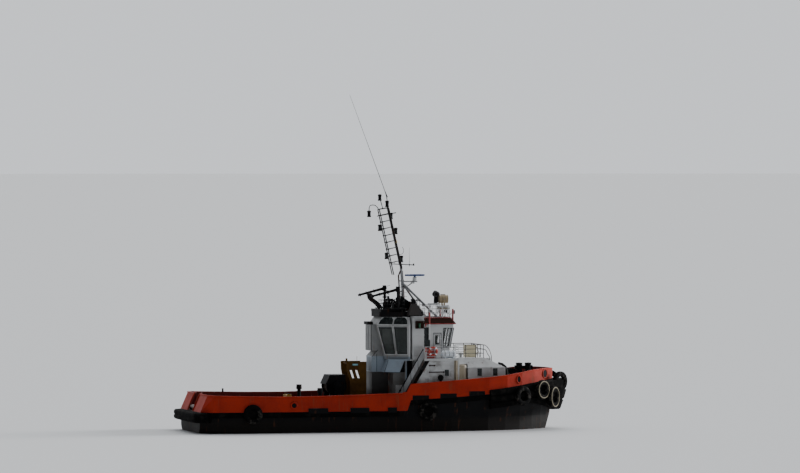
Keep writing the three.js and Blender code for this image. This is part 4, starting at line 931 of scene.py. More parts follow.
class TUG_OT_fenders(bpy.types.Operator):
    """Builds the rubber fenders and the tyres that hang over them"""

    bl_idname = "tug.fenders"
    bl_label = "Fenders and tyres"

    def execute(self, context):
        for step in (self.bow, self.sides, self.stern, self.tyres):
            step()
        return {"FINISHED"}

    def bow(self):
        """Ribbed rubber that thickens and deepens towards the stem"""
        top, back, bands = 0.32, -0.05, 3
        port = belt_run(8.0, STEM_X, lambda row: row[2])
        rings = []
        for place in port + other_side(port):
            growth = max(0.0, (place[0] - 11.0) / 3.2) ** 1.5
            thick, foot = 0.3 + 0.8 * growth, -1.15 - growth
            pitch = (top - foot) / bands
            section = [(back, foot)]
            for low in (foot + pitch * k for k in range(bands)):
                for up, inset in ((0.03, 0.09), (0.1, 0.0), (pitch - 0.1, 0.0), (pitch - 0.03, 0.09)):
                    rake = 0.5 * growth * max(0.0, (-0.75 - low - up) / 1.4)
                    section.append((thick - inset - rake, low + up))
            rings.append(belt_ring(place, section + [(back, top)]))
        shape = Shape()
        shape.loft(rings)
        make("bow_fender", shape, "fender_rubber", replaces=["fender_bow"], smooth=50)

    def sides(self):
        section = [(-0.2, -0.2), (0.03, -0.2), (0.09, -0.12), (0.1, 0.0), (0.09, 0.12),
                   (0.03, 0.2), (-0.02, 0.2)]
        for side, name in SIDES:
            for place, first, last, level in (
                ("aft", -13.8, 1.2, lambda row: 1.4),
                ("fore", 1.7, 8.0, lambda row: row[2] - 0.22),
            ):
                shape = Shape()
                shape.loft([belt_ring(spot, section) for spot in belt_run(first, last, level)])
                shape.points = [(x, y * side, z) for x, y, z in shape.points]
                shape.faces = [face[::side] for face in shape.faces]
                swapped = [f"fender_side_{name}"] if place == "aft" else []
                make(f"side_fender_{place}_{name}", shape, "fender_rubber", replaces=swapped, smooth=50)

    def stern(self):
        half = [(-14.6, 3.0, 1.21, -1, 0), (-14.6, 3.66, 1.21, -0.92, 0.38), (-14.0, 4.28, 1.21, -0.7, 0.71)]
        upper = [(0.5, 0.03), (0.56, 0.12), (0.52, 0.3), (0.4, 0.38), (-0.1, 0.38)]
        section = [(out, -up) for out, up in reversed(upper)] + upper
        shape = Shape()
        run = other_side(half) + [(-14.6, 0.0, 1.21, -1, 0)] + half
        shape.loft([belt_ring(spot, section) for spot in run])
        make("stern_fender", shape, "fender_rubber", replaces=["fender_stern"], smooth=50)

    def tyres(self):
        hung, beads, fillings = Shape(), Shape(), Shape()
        for place, facing, radius in BOW_TYRES + SIDE_TYRES:
            tyre(hung, place, facing, radius)
        # Painted highlight: pale rings on two bow tyres, where the low sun lights their rims
        for place, facing, radius in BOW_TYRES[1:3]:
            out = Vector((math.cos(math.radians(facing)), math.sin(math.radians(facing)), 0))
            beads.ring(Vector(place) + out * 0.165, out, radius * 0.84, 0.042, 40, 8)
        for place, facing, radius in SIDE_TYRES:
            fillings.disc(place, ACROSS, radius * 0.6, -0.05, 0.02)
        make("hung_tyres", hung.both_sides(), "tyre", smooth=60)
        make("tyre_rim_highlights", beads.both_sides(), "sunlit_rim_rubber", smooth=60)
        make("tyre_discs", fillings.both_sides(), "fender_rubber")


# Freeing ports: aft end, fore end, foot height
FREEING_PORTS = [(-6.35, -4.8, 1.69), (-3.05, -1.56, 1.69), (-0.08, 0.62, 1.69),
                 (1.87, 3.17, 2.6), (4.07, 5.38, 2.72), (6.37, 7.64, 2.88)]
# Openings for ropes: x along, middle height, half width, half height
CHOCKS = [(-7.48, 2.12, 0.23, 0.23), (10.5, 3.93, 0.19, 0.28), (13.1, 4.28, 0.4, 0.34)]


class TUG_OT_bulwarks(bpy.types.Operator):
    """Builds the bulwark's cap, stays, rope openings and the flaps and sills of its freeing ports"""

    bl_idname = "tug.bulwarks"
    bl_label = "Bulwark fittings"

    def execute(self, context):
        self.caps(context.scene.tug_size.cap_pipe)
        for step in (self.stays, self.flaps, self.chocks):
            step()
        return {"FINISHED"}

    def caps(self, radius):
        middle = BULWARK_THICK / 2
        side = edge_run(-13.8, 1.1, lambda row: row[3], middle)
        transom = [(-14.04, 0.98, 2.9), (-14.04, 3.7, 2.9), (-13.58, side[0][1], side[0][2])]
        step = [(1.1, 4.56, 2.99), (1.45, 4.56, 3.05)]
        port = step + edge_run(1.7, STEM_X, lambda row: row[3], -middle)
        shape = Shape()
        shape.pipe(transom + side[1:], radius)
        shape.both_sides()
        shape.pipe(port + [mirrored(point) for point in reversed(port)], radius)
        make("bulwark_cap", shape, "bulwark_paint", smooth=60)

    def stays(self):
        shape = Shape()
        for x in [-13.2 + 1.15 * k for k in range(13)] + [2.3 + 1.1 * k for k in range(10)]:
            _, y, deck, top = edge_at(x)
            inner = y - (0.0 if x < STEP_X else BULWARK_THICK)
            section = [(0.01, deck + 0.01), (-0.42, deck + 0.01), (-0.12, top - 0.1), (0.01, top - 0.05)]
            shape.loft([[(x + dx, inner + dy, z) for dy, z in section] for dx in (-0.012, 0.012)])
        make("bulwark_stays", shape.both_sides(), "bulwark_paint", bevel=0.004)

    def flaps(self):
        """Flaps in the freeing ports, black as painted shade where the ports show shade, with a sill below
        each that is painted like the hull
        """
        shape = Shape()
        for aft, fore, low in FREEING_PORTS:
            for foot, head, out in ((low, low + 0.2, -0.03), (low - 0.19, low + 0.01, 0.0)):
                corners = ((fore, foot), (aft, foot), (aft, head), (fore, head))
                shape.slab([(x, bulwark_y(x) + out, z) for x, z in corners], 0.02)
        # Painted shade: the flaps are black for the shade seen through the ports
        make("freeing_port_shade_flaps", shape.both_sides(), "black_paint")

    def chocks(self):
        rims, opening_shade = Shape(), Shape()
        for x, z, half_wide, half_high in CHOCKS:
            along = Vector((0.3, edge_at(x + 0.3)[1] - edge_at(x)[1], 0)).normalized()
            out = Vector((-along.y, along.x, 0))
            base = Vector((x, bulwark_y(x), z))
            wide, high = along * half_wide, UP * half_high
            loop = [base + wide * math.cos(t) + high * math.sin(t) for t in turns(24)]
            rims.pipe(loop, 0.055, 8, closed=True)
            # Painted shade: a black sheet fills each rope opening
            opening_shade.loft([[point + out * rise for point in loop] for rise in (0.012, 0.02)])
        make("chock_rims", rims.both_sides(), "bulwark_paint", smooth=60)
        make("chock_opening_shade", opening_shade.both_sides(), "black_paint")


def on_face(face, u, v):
    """The four corners of a share of a four-cornered face"""
    a, b, c, d = (Vector(corner) for corner in face)

    def at(s, t):
        return a.lerp(b, s).lerp(d.lerp(c, s), t)

    return [at(u[0], v[0]), at(u[1], v[0]), at(u[1], v[1]), at(u[0], v[1])]


def wheelhouse_windows():
    """Corners of each window on the port side and the front, facing outwards"""

    def wall(low, low_z, high, high_z):
        return at_height(low, low_z) + at_height(high, high_z)[::-1]

    corner = wall(FRONT_FOOT, BAND_FOOT_Z, FRONT_HEAD, BAND_HEAD_Z)
    front = [mirrored(corner[0]), corner[0], corner[3], mirrored(corner[3])]
    bay = wall(BAY_FOOT, BAND_FOOT_Z, BAY_HEAD, BAND_HEAD_Z)
    upper = wall(BAY_HEAD, BAY_UPPER_FOOT_Z, BAY_UPPER_HEAD, BAY_UPPER_HEAD_Z)
    side = [(5.3, 2.2, 6.42), (4.95, 2.2, 6.42), (4.95, 2.2, 7.85), (5.6, 2.2, 7.85)]
    halves = ((0.04, 0.47), (0.53, 0.96))
    return {
        "front": [on_face(front, u, (0.29, 0.95)) for u in ((0.03, 0.32), (0.36, 0.64), (0.68, 0.97))],
        "side": [on_face(corner, (0.08, 0.92), (0.29, 0.95)), side],
        "bay": [on_face(bay, u, (0.05, 1.05)) for u in halves],
        "bay_heads": [on_face(bay, u, (0.95, 1.05)) for u in halves],
        "upper": [on_face(upper, u, (0.02, 0.96)) for u in ((0.03, 0.48), (0.52, 0.97))],
    }


def cushion(centre, along, up):
    """A crowned pad with two sewn channels, whose sides pull in between its corners"""
    half_wide, steps = 0.22, 20
    across = up.cross(along).normalized() * half_wide

    def point(a, b, side):
        height = math.sqrt(max(0.0, 1 - a ** 4) * (1 - b ** 4))
        sewn = sum(math.exp(-((a - channel) / 0.08) ** 2) for channel in (-0.33, 0.33))
        rise = height * (1 - 0.3 * sewn) if side > 0 else -0.5 * height
        return centre + along * a * (0.94 + 0.06 * b * b) + across * b * (0.94 + 0.06 * a * a) + up * rise

    rings = []
    for j in range(steps + 1):
        b = 0.995 * (2 * j / steps - 1)
        over = [point(2 * i / steps - 1, b, 1) for i in range(steps + 1)]
        under = [point(2 * i / steps - 1, b, -1) for i in range(steps - 1, 0, -1)]
        rings.append(over + under)
    shape = Shape()
    shape.loft(rings)
    return shape


class TUG_OT_wheelhouse(bpy.types.Operator):
    """Builds the wheelhouse's window frames, wipers, panes, door fittings and inside fittings"""

    bl_idname = "tug.wheelhouse"
    bl_label = "Wheelhouse fittings"

    def execute(self, context):
        windows = wheelhouse_windows()
        for step in (self.frames, self.panes, self.blinds, self.wipers):
            step(windows)
        for step in (self.doors, self.inside, self.chairs, self.trim):
            step()
        return {"FINISHED"}

    def frames(self, windows):
        """Black frames forward; white ones round the bay, rounded at the top of its upper panes"""
        black, white = Shape(), Shape()
        for corners in windows["side"]:
            black.border(corners, 0.045, 0.022)
        for corners in windows["bay"] + windows["upper"]:
            white.border(corners, 0.04, 0.03)
        for a, b, c, d in windows["upper"]:
            white.slab([c, c.lerp(d, 0.16), c.lerp(b, 0.4)], 0.03)
            white.slab([d.lerp(a, 0.4), d.lerp(c, 0.16), d], 0.03)
        black.both_sides()
        for corners in windows["front"]:
            black.border(corners, 0.045, 0.022)
        make("window_frames", black, "black_paint", bevel=0.005)
        make("bay_window_frames", white.both_sides(), "white_paint", bevel=0.005)

    def panes(self, windows):
        shape = Shape()
        for corners in windows["upper"] + windows["bay_heads"]:
            shape.slab(corners, 0.012)
        make("upper_panes", shape.both_sides(), "dark_glass")

    def blinds(self, windows):
        """A slatted blind let down inside the aft pane on each side of the bay"""
        slats = Shape()
        a, b, c, d = windows["bay"][1]
        inward = face_normal([a, b, c, d]) * -0.12
        lower, count = inward * 1.15, 26
        for k in range(count):
            low, high = k / count, (k + 0.8) / count
            slats.slab([a.lerp(d, low) + inward, b.lerp(c, low) + inward,
                        b.lerp(c, high) + lower, a.lerp(d, high) + lower], 0.006)
        for share in (0.2, 0.8):
            slats.rod(a.lerp(b, share) + inward, d.lerp(c, share) + lower, 0.006, 6)
        make("bay_blinds", slats.both_sides(), "olive_paint")

    def wipers(self, windows):
        arms = Shape()
        for a, b, c, d in windows["front"]:
            out = face_normal([a, b, c, d]) * 0.04
            pivot = (a + b) / 2 + out
            tip = pivot.lerp((c + d) / 2 + out, 0.72) + (b - a) * 0.2
            blade = (d - a).normalized() * 0.3
            arms.rod(pivot, tip, 0.01, 6)
            arms.rod(tip - blade, tip + blade, 0.012, 6)
            arms.rod(pivot - out * 0.9, pivot + out * 0.4, 0.03, 8)
        make("wipers", arms, "black_paint")

    def doors(self):
        """Each bridge door's pane and frame, and its leaf's dark edge, strips, handle and lever"""
        for side, name in SIDES:
            y = WHEELHOUSE_Y * side
            pane, metal = Shape(), Shape()
            inner, outer = sorted((y - 0.035 * side, y - 0.02 * side))
            pane.block((4.295, inner, 6.655), (4.595, outer, 7.295))
            for aft, fore, low, high, width, thick in (
                (4.29, 4.60, 6.65, 7.3, 0.03, 0.014), (4.15, 4.74, 5.58, 7.5, 0.025, 0.006),
            ):
                corners = [(aft, y, low), (fore, y, low), (fore, y, high), (aft, y, high)]
                metal.border(corners if side < 0 else corners[::-1], width, thick)
            grip = y + 0.06 * side
            metal.bend([(4.2, y, 6.3), (4.2, grip, 6.33), (4.2, grip, 6.55), (4.2, y, 6.58)], 0.012, 8, 3)
            metal.rod((4.21, y - 0.005 * side, 6.2), (4.21, y + 0.03 * side, 6.2), 0.03, 12)
            metal.rod((4.21, y + 0.025 * side, 6.2), (4.33, y + 0.035 * side, 6.18), 0.011, 8)
            low_y, high_y = sorted((y, y + 0.01 * side))
            for z in (5.64, 7.44):
                metal.block((4.15, low_y, z - 0.02), (4.74, high_y, z + 0.02))
            make(f"door_pane_{name}", pane, "window_glass", f"door_{name}", bevel=0.003)
            make(f"door_fittings_{name}", metal, "black_paint", f"door_{name}", bevel=0.003)

    def inside(self):
        screens, consoles = Shape(), Shape()
        for y in (-0.75, -0.25, 0.25, 0.75):
            screens.slab([(5.14, y - 0.19, 6.68), (5.14, y + 0.19, 6.68),
                          (5.02, y + 0.19, 6.42), (5.02, y - 0.19, 6.42)], 0.02, 0.02)
        for y in (-0.5, 0.0, 0.5):
            screens.slab([(1.04, y - 0.17, 6.42), (1.04, y + 0.17, 6.42),
                          (0.93, y + 0.17, 6.66), (0.93, y - 0.17, 6.66)], 0.02, 0.02)
            consoles.rod((0.95, y, 6.4), (0.93, y, 6.56), 0.03, 8)
        for y in (-2.1, 1.9):
            consoles.block((3.5, y, 8.05), (5.6, y + 0.2, 8.11))
        for y in (-0.35, 0.35):
            consoles.rod((5.0, y, 6.45), (4.93, y, 6.62), 0.018, 8)
            consoles.rod((4.93, y, 6.6), (4.92, y, 6.66), 0.035, 10)
        make("bridge_screens", screens, "dark_glass", bevel=0.004)
        make("bridge_controls", consoles, "black_paint", bevel=0.004)

    def chairs(self):
        """Two helm chairs on pedestals, with stuffed seats and backs"""
        for name, facing in (("fore", 1), ("aft", -1)):
            node = f"helm_chair_{name}"
            low, high = (Vector(corner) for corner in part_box(node))
            foot = Vector(((low.x + high.x) / 2, 0, low.z))
            ahead = ALONG * facing
            self.chair_frame(node, foot, facing)
            seat = cushion(foot + ahead * 0.02 + UP * 0.56, ahead * 0.25, UP * 0.07)
            back = cushion(foot - ahead * 0.19 + UP * 0.93, UP * 0.33 - ahead * 0.06, ahead * 0.08)
            for shape, part in ((seat, "seat"), (back, "back")):
                pad = make(f"helm_{part}_{name}", shape, "chair_leather", smooth=60, replaces=[node])

    def chair_frame(self, node, foot, facing):
        x, z = foot.x, foot.z
        frame = Shape()
        frame.lathe(foot, [(0.24, 0), (0.24, 0.02), (0.09, 0.05), (0.055, 0.1), (0.055, 0.48), (0.14, 0.5)])
        frame.block((x - 0.22, -0.2, z + 0.49), (x + 0.22, 0.2, z + 0.535))
        for y in (-0.27, 0.27):
            frame.bend([(x, 0.8 * y, z + 0.51), (x, y, z + 0.53), (x, y, z + 0.76)], 0.018, 8)
            frame.block((x - 0.17, y - 0.03, z + 0.76), (x + 0.17, y + 0.03, z + 0.795))
        for y in (-0.12, 0.12):
            stem = ((0.15, 0.51), (0.24, 0.56), (0.27, 1.1))
            frame.bend([(x - back * facing, y, z + up) for back, up in stem], 0.018, 8)
        make(f"{node}_frame", frame, "black_paint", replaces=[node], bevel=0.004)

    def trim(self):
        """White strips over the bay's windows, and the red edge and posts under the fore roof"""
        white, red = Shape(), Shape()
        for z in (7.99, 8.14):
            head = z + 0.035
            white.slab([(2.06, 2.605, z), (-0.13, 1.42, z), (-0.13, 1.42, head), (2.06, 2.605, head)], 0.02)
        edge_z = 8.22
        for end in ((3.42, 2.385, edge_z), (6.17, 1.3, edge_z)):
            red.rod((5.85, 2.385, edge_z), end, 0.03, 8)
        red.rod((3.46, 2.4, 8.0), (3.46, 2.4, 8.24), 0.05)
        red.both_sides()
        red.rod((6.175, 1.3, edge_z), (6.175, -1.3, edge_z), 0.03, 8)
        make("bay_strips", white.both_sides(), "white_paint", bevel=0.004)
        make("fore_roof_edge", red, "red_paint")


def wall_corners(x, y, z, half_wide, half_high):
    """The corners of a panel on a port side wall, facing outwards"""
    return [(x + half_wide, y, z - half_high), (x - half_wide, y, z - half_high),
            (x - half_wide, y, z + half_high), (x + half_wide, y, z + half_high)]


# Small windows on the port side: x, y, middle height, half width, half height
SIDE_WINDOWS = [(7.73, FORE_HOUSE_Y, 4.46, 0.18, 0.29), (8.98, FORE_HOUSE_Y, 4.46, 0.18, 0.29),
                (4.84, HOUSE_Y, 4.47, 0.17, 0.24), (3.62, WHEELHOUSE_Y, 7.1, 0.24, 0.85)]
HOUSE_FRONT_X = 9.8
# The steel door on each side: middle x, foot height, half width, height
STEEL_DOOR = (1.5, 1.75, 0.33, 1.72)
MUSHROOM_VENT = [(0.1, 0), (0.1, 0.3), (0.2, 0.32), (0.22, 0.4), (0.14, 0.47)]


class TUG_OT_deckhouse(bpy.types.Operator):
    """Builds the windows, doors, pipes and panels of the deckhouses and the aft console"""

    bl_idname = "tug.deckhouse"
    bl_label = "Deckhouse fittings"

    def execute(self, context):
        for step in (self.windows, self.doors, self.pipes, self.wall_gear, self.console, self.seams):
            step()
        return {"FINISHED"}

    def windows(self):
        frames, panes = Shape(), Shape()
        x = HOUSE_FRONT_X
        front = [(x, 0.9, 4.2), (x, 1.25, 4.2), (x, 1.25, 4.6), (x, 0.9, 4.6)]
        for corners in [wall_corners(*window) for window in SIDE_WINDOWS] + [front]:
            frames.border(corners, 0.035, 0.03, -0.01)
            panes.slab(corners, 0.02, -0.01)
        make("house_window_frames", frames.both_sides(), "white_paint", bevel=0.006)
        make("house_window_panes", panes.both_sides(), "dark_glass", bevel=0.003)

    def doors(self):
        """A steel door with its frame, hinges, dogs and round window, on each side"""
        steel, dark = Shape(), Shape()
        x, foot, half_wide, high = STEEL_DOOR
        y, middle = WHEELHOUSE_Y, foot + high / 2
        hinge, lock, window = x - half_wide, x + half_wide - 0.02, middle + 0.45
        corners = wall_corners(x, y, middle, half_wide, high / 2)
        steel.border(corners, 0.05, 0.05, -0.01)
        steel.slab(corners, 0.035, -0.005)
        for z in (middle - 0.6, middle, middle + 0.6):
            steel.block((hinge - 0.06, y, z - 0.04), (hinge + 0.12, y + 0.06, z + 0.04))
            dark.rod((lock, y + 0.06, z - 0.09), (lock, y + 0.06, z + 0.09), 0.014, 8)
            dark.rod((lock, y + 0.01, z), (lock, y + 0.07, z), 0.018, 8)
        steel.ring((x, y + 0.03, window), ACROSS, 0.13, 0.02)
        dark.disc((x, y, window), ACROSS, 0.12, 0.0, 0.036)
        make("steel_doors", steel.both_sides(), "white_paint", bevel=0.006)
        make("steel_door_fittings", dark.both_sides(), "black_paint")

    def pipes(self):
        """Casings and air pipes on the house sides, and the vents that stand on the decks"""
        beige, white = Shape(), Shape()
        beige.block((5.43, 3.59, 2.62), (5.69, 3.67, 5.41))
        beige.rod((5.56, 3.7, 2.64), (5.56, 3.7, 5.4), 0.05, 12)
        beige.lathe((6.38, 2.32, 2.7), [(0.36, 0), (0.36, 2.2), (0.33, 2.3), (0.2, 2.36)], 2.37, count=28)
        for x in (3.2, 3.45):
            white.bend([(x, 3.63, 2.6), (x, 3.63, 3.9), (x, 3.66, 4.05), (x, 3.72, 4.0)], 0.03, 8)
        for z in (2.9, 3.6, 4.3, 5.0):
            beige.block((5.4, 3.58, z), (5.72, 3.76, z + 0.03))
        for x, y, z in ((6.6, 1.1, 5.46), (6.6, -1.1, 5.46), (9.1, 0.0, 5.0)):
            white.lathe((x, y, z), MUSHROOM_VENT, 0.49, count=20)
        make("house_casings", beige.both_sides(), "beige_paint", bevel=0.006)
        make("house_air_pipes", white.both_sides(), "white_paint", smooth=50)

    def wall_gear(self):
        """Boat hooks on brackets, and a hose reel over its hydrant, on both house sides"""
        hooks, reel = Shape(), Shape()
        for x, z, long in ((3.4, 4.52, 1.25), (3.4, 5.03, 0.52)):
            hooks.rod((x, 3.67, z), (x + long, 3.67, z + 0.02), 0.032, 8)
            for bracket in (x + 0.08, x + long - 0.08):
                hooks.block((bracket - 0.02, 3.59, z - 0.05), (bracket + 0.02, 3.7, z + 0.07))
        drum = [(0.2, 0), (0.22, 0.02), (0.19, 0.04), (0.19, 0.12), (0.22, 0.14)]
        reel.lathe((4.34, 3.59, 4.1), drum, 0.16, ACROSS)
        reel.block((4.26, 3.59, 3.5), (4.42, 3.7, 3.92))
        reel.rod((4.34, 3.65, 3.3), (4.34, 3.65, 3.52), 0.06)
        make("boat_hooks", hooks.both_sides(), "rusty_brown")
        make("hose_reels", reel.both_sides(), "black_paint", bevel=0.004)

    def console(self):
        """Panels with raised edges on the overhanging console and the trunk above it"""
        panels, dark = Shape(), Shape()
        low_aft, low_side = (0.25, 2.15, 4.5), (1.25, 3.05, 4.5)
        high_aft, high_side = (0.6, 1.9, 5.41), (1.7, 2.8, 5.41)
        side = [low_side, low_aft, high_aft, high_side]
        back = [low_aft, (0.25, 0.92, 4.5), (0.6, 0.92, 5.41), high_aft]
        nose = [(-0.45, 0.86, 4.55), (-0.45, -0.86, 4.55), (-0.45, -0.86, 5.6), (-0.45, 0.86, 5.6)]
        shares = ((side, (0.04, 0.48)), (side, (0.52, 0.96)), (back, (0.06, 0.94)), (nose, (0.05, 0.48)))
        for face, u in shares:
            panels.border(on_face(face, u, (0.08, 0.92)), 0.02, 0.016, -0.004)
        trunk = [(-0.5, 0.9, 6.15), (-0.5, -0.9, 6.15), (-0.5, -0.9, 8.1), (-0.5, 0.9, 8.1)]
        panels.border(on_face(trunk, (0.06, 0.46), (0.05, 0.95)), 0.02, 0.018, -0.004)
        for a, b, radius in (
            (low_aft, high_aft, 0.02), (low_side, high_side, 0.02), (low_aft, low_side, 0.02),
            ((-0.06, 0.9, 4.52), (-0.06, 0.9, 5.9), 0.02), ((-0.5, 0.9, 6.14), (-0.5, 0.9, 8.14), 0.018),
            ((-0.46, 0.9, 5.66), (0.04, 0.9, 6.2), 0.02),
        ):
            dark.rod(a, b, radius, 6)
        make("console_panels", panels.both_sides(), "console", bevel=0.003)
        make("console_seams", dark.both_sides(), "black_paint")

    def seams(self):
        """Weld seams, and black panels of painted shade in the doorway and the recess beside the console"""
        beads, shade_panels = Shape(), Shape()
        for y, (aft, low), (fore, high) in (
            (HOUSE_Y, (3.6, 2.7), (3.6, 5.38)), (HOUSE_Y, (4.7, 2.7), (4.7, 5.38)),
            (HOUSE_Y, (2.5, 3.42), (5.4, 3.42)),
            (FORE_HOUSE_Y, (6.9, 3.0), (6.9, 4.8)), (FORE_HOUSE_Y, (8.4, 3.0), (8.4, 4.8)),
        ):
            beads.rod((aft, y, low), (fore, y, high), 0.008, 6)
        beads.pipe([(5.9, 2.6, 4.81), (9.78, 2.6, 4.81), (9.78, 0.0, 4.81)], 0.022, 6)
        beads.block((1.86, 2.19, 3.5), (1.97, 2.26, 5.4))
        # Painted shade: black panels on the wall where the doorway and the recess lie in shade
        for outline in (
            [(1.86, 4.5), (1.3, 4.5), (1.62, 5.4), (1.86, 5.4)],
            [(2.42, 3.6), (1.97, 3.6), (1.97, 5.4), (2.42, 5.4)],
        ):
            shade_panels.slab([(x, WHEELHOUSE_Y, z) for x, z in outline], 0.012)
        make("weld_seams", beads.both_sides(), "white_paint", smooth=60)
        make("house_recess_shade", shade_panels.both_sides(), "black_paint")


class TUG_OT_funnels(bpy.types.Operator):
    """Builds the funnels' louvres, sidelight boxes, uptakes and ladders"""

    bl_idname = "tug.funnels"
    bl_label = "Funnel fittings"

    def execute(self, context):
        for step in (self.louvres, self.sidelights, self.uptakes):
            step()
        return {"FINISHED"}

    def louvres(self):
        frames, slats = Shape(), Shape()
        y = FUNNEL_Y
        frames.border(wall_corners(2.79, y, 6.2, 0.32, 0.4), 0.04, 0.035, -0.005)
        for z in (5.84 + 0.1 * k for k in range(8)):
            inner, outer, low = y + 0.002, y + 0.035, z - 0.05
            slats.slab([(3.1, inner, z), (2.48, inner, z), (2.48, outer, low), (3.1, outer, low)], 0.008)
        for z in (7.35, 8.8):
            frames.rod((2.32, y + 0.01, z), (3.26, y + 0.01, z), 0.022, 8)
        for z in (5.62 + 0.36 * k for k in range(9)):
            frames.pipe(at_height([(3.25, 2.2), (3.34, 2.2), (3.34, 2.5), (3.25, 2.5)], z), 0.012, 6)
        make("funnel_frames", frames.both_sides(), "white_paint", bevel=0.003)
        make("funnel_louvres", slats.both_sides(), "white_paint")

    def sidelights(self):
        """A box of plates open forward and outwards round each sidelight"""
        boxes = Shape()
        (aft, fore), (inner, outer), (foot, head) = (2.55, 3.24), (2.74, 3.02), (7.88, 8.46)
        boxes.block((aft, inner, foot), (fore, inner + 0.04, head))
        boxes.block((aft, inner, foot), (fore, outer, foot + 0.03))
        boxes.block((aft, inner, head - 0.03), (fore, outer, head))
        boxes.block((aft, inner, foot), (aft + 0.03, outer, head))
        make("sidelight_boxes", boxes.both_sides(), "rusty_brown", bevel=0.004)
        outline = [(0.1, 0), (0.1, 0.05), (0.085, 0.07), (0.085, 0.26), (0.1, 0.28), (0.1, 0.34)]
        for side, name in ((1, "red"), (-1, "green")):
            lens = Shape()
            lens.lathe((2.85, side * 2.88, 7.93), outline, 0.37)
            make(f"sidelight_{name}", lens, f"lamp_{name}")

    def uptakes(self):
        shape, middle = Shape(), 2.38
        for x, radius in ((2.42, 0.1), (2.6, 0.08)):
            shape.bend([(x, middle, 9.7), (x, middle, 10.0), (x - 0.1, middle, 10.14)], radius, 14)
            shape.ring((x, middle, 9.86), UP, radius + 0.01, 0.018)
        edge = at_height([(2.0, 1.96), (3.12, 1.96), (3.12, 2.78), (2.0, 2.78)], 8.87)
        shape.pipe(edge, 0.03, 6, closed=True)
        make("uptakes", shape.both_sides(), "black_paint", smooth=50)


def mast_point(up, aft, y=0.0):
    """A place on the upper mast: height from its hinge, distance aft of its fore rail"""
    x, z = MAST_PIVOT
    return Vector((
        x - up * math.sin(MAST_RAKE) - aft * math.cos(MAST_RAKE),
        y,
        z + up * math.cos(MAST_RAKE) - aft * math.sin(MAST_RAKE),
    ))


# Navigation lamps on the upper mast: height up it and distance aft of its fore rail
RAIL_LAMPS = [(3.38, 0.976), (1.137, 0.94), (2.855, -0.208), (0.644, -0.156), (4.079, -0.096)]
TOP_LAMPS = [(MAST_TOP + 0.86, 0.46), (MAST_TOP + 0.25, 0.0)]
LAMP_OUTLINE = [(0.15, -0.25), (0.16, -0.2), (0.13, -0.12), (0.13, 0.1), (0.16, 0.13), (0.16, 0.2),
                (0.1, 0.26)]
RADAR_X = 3.2


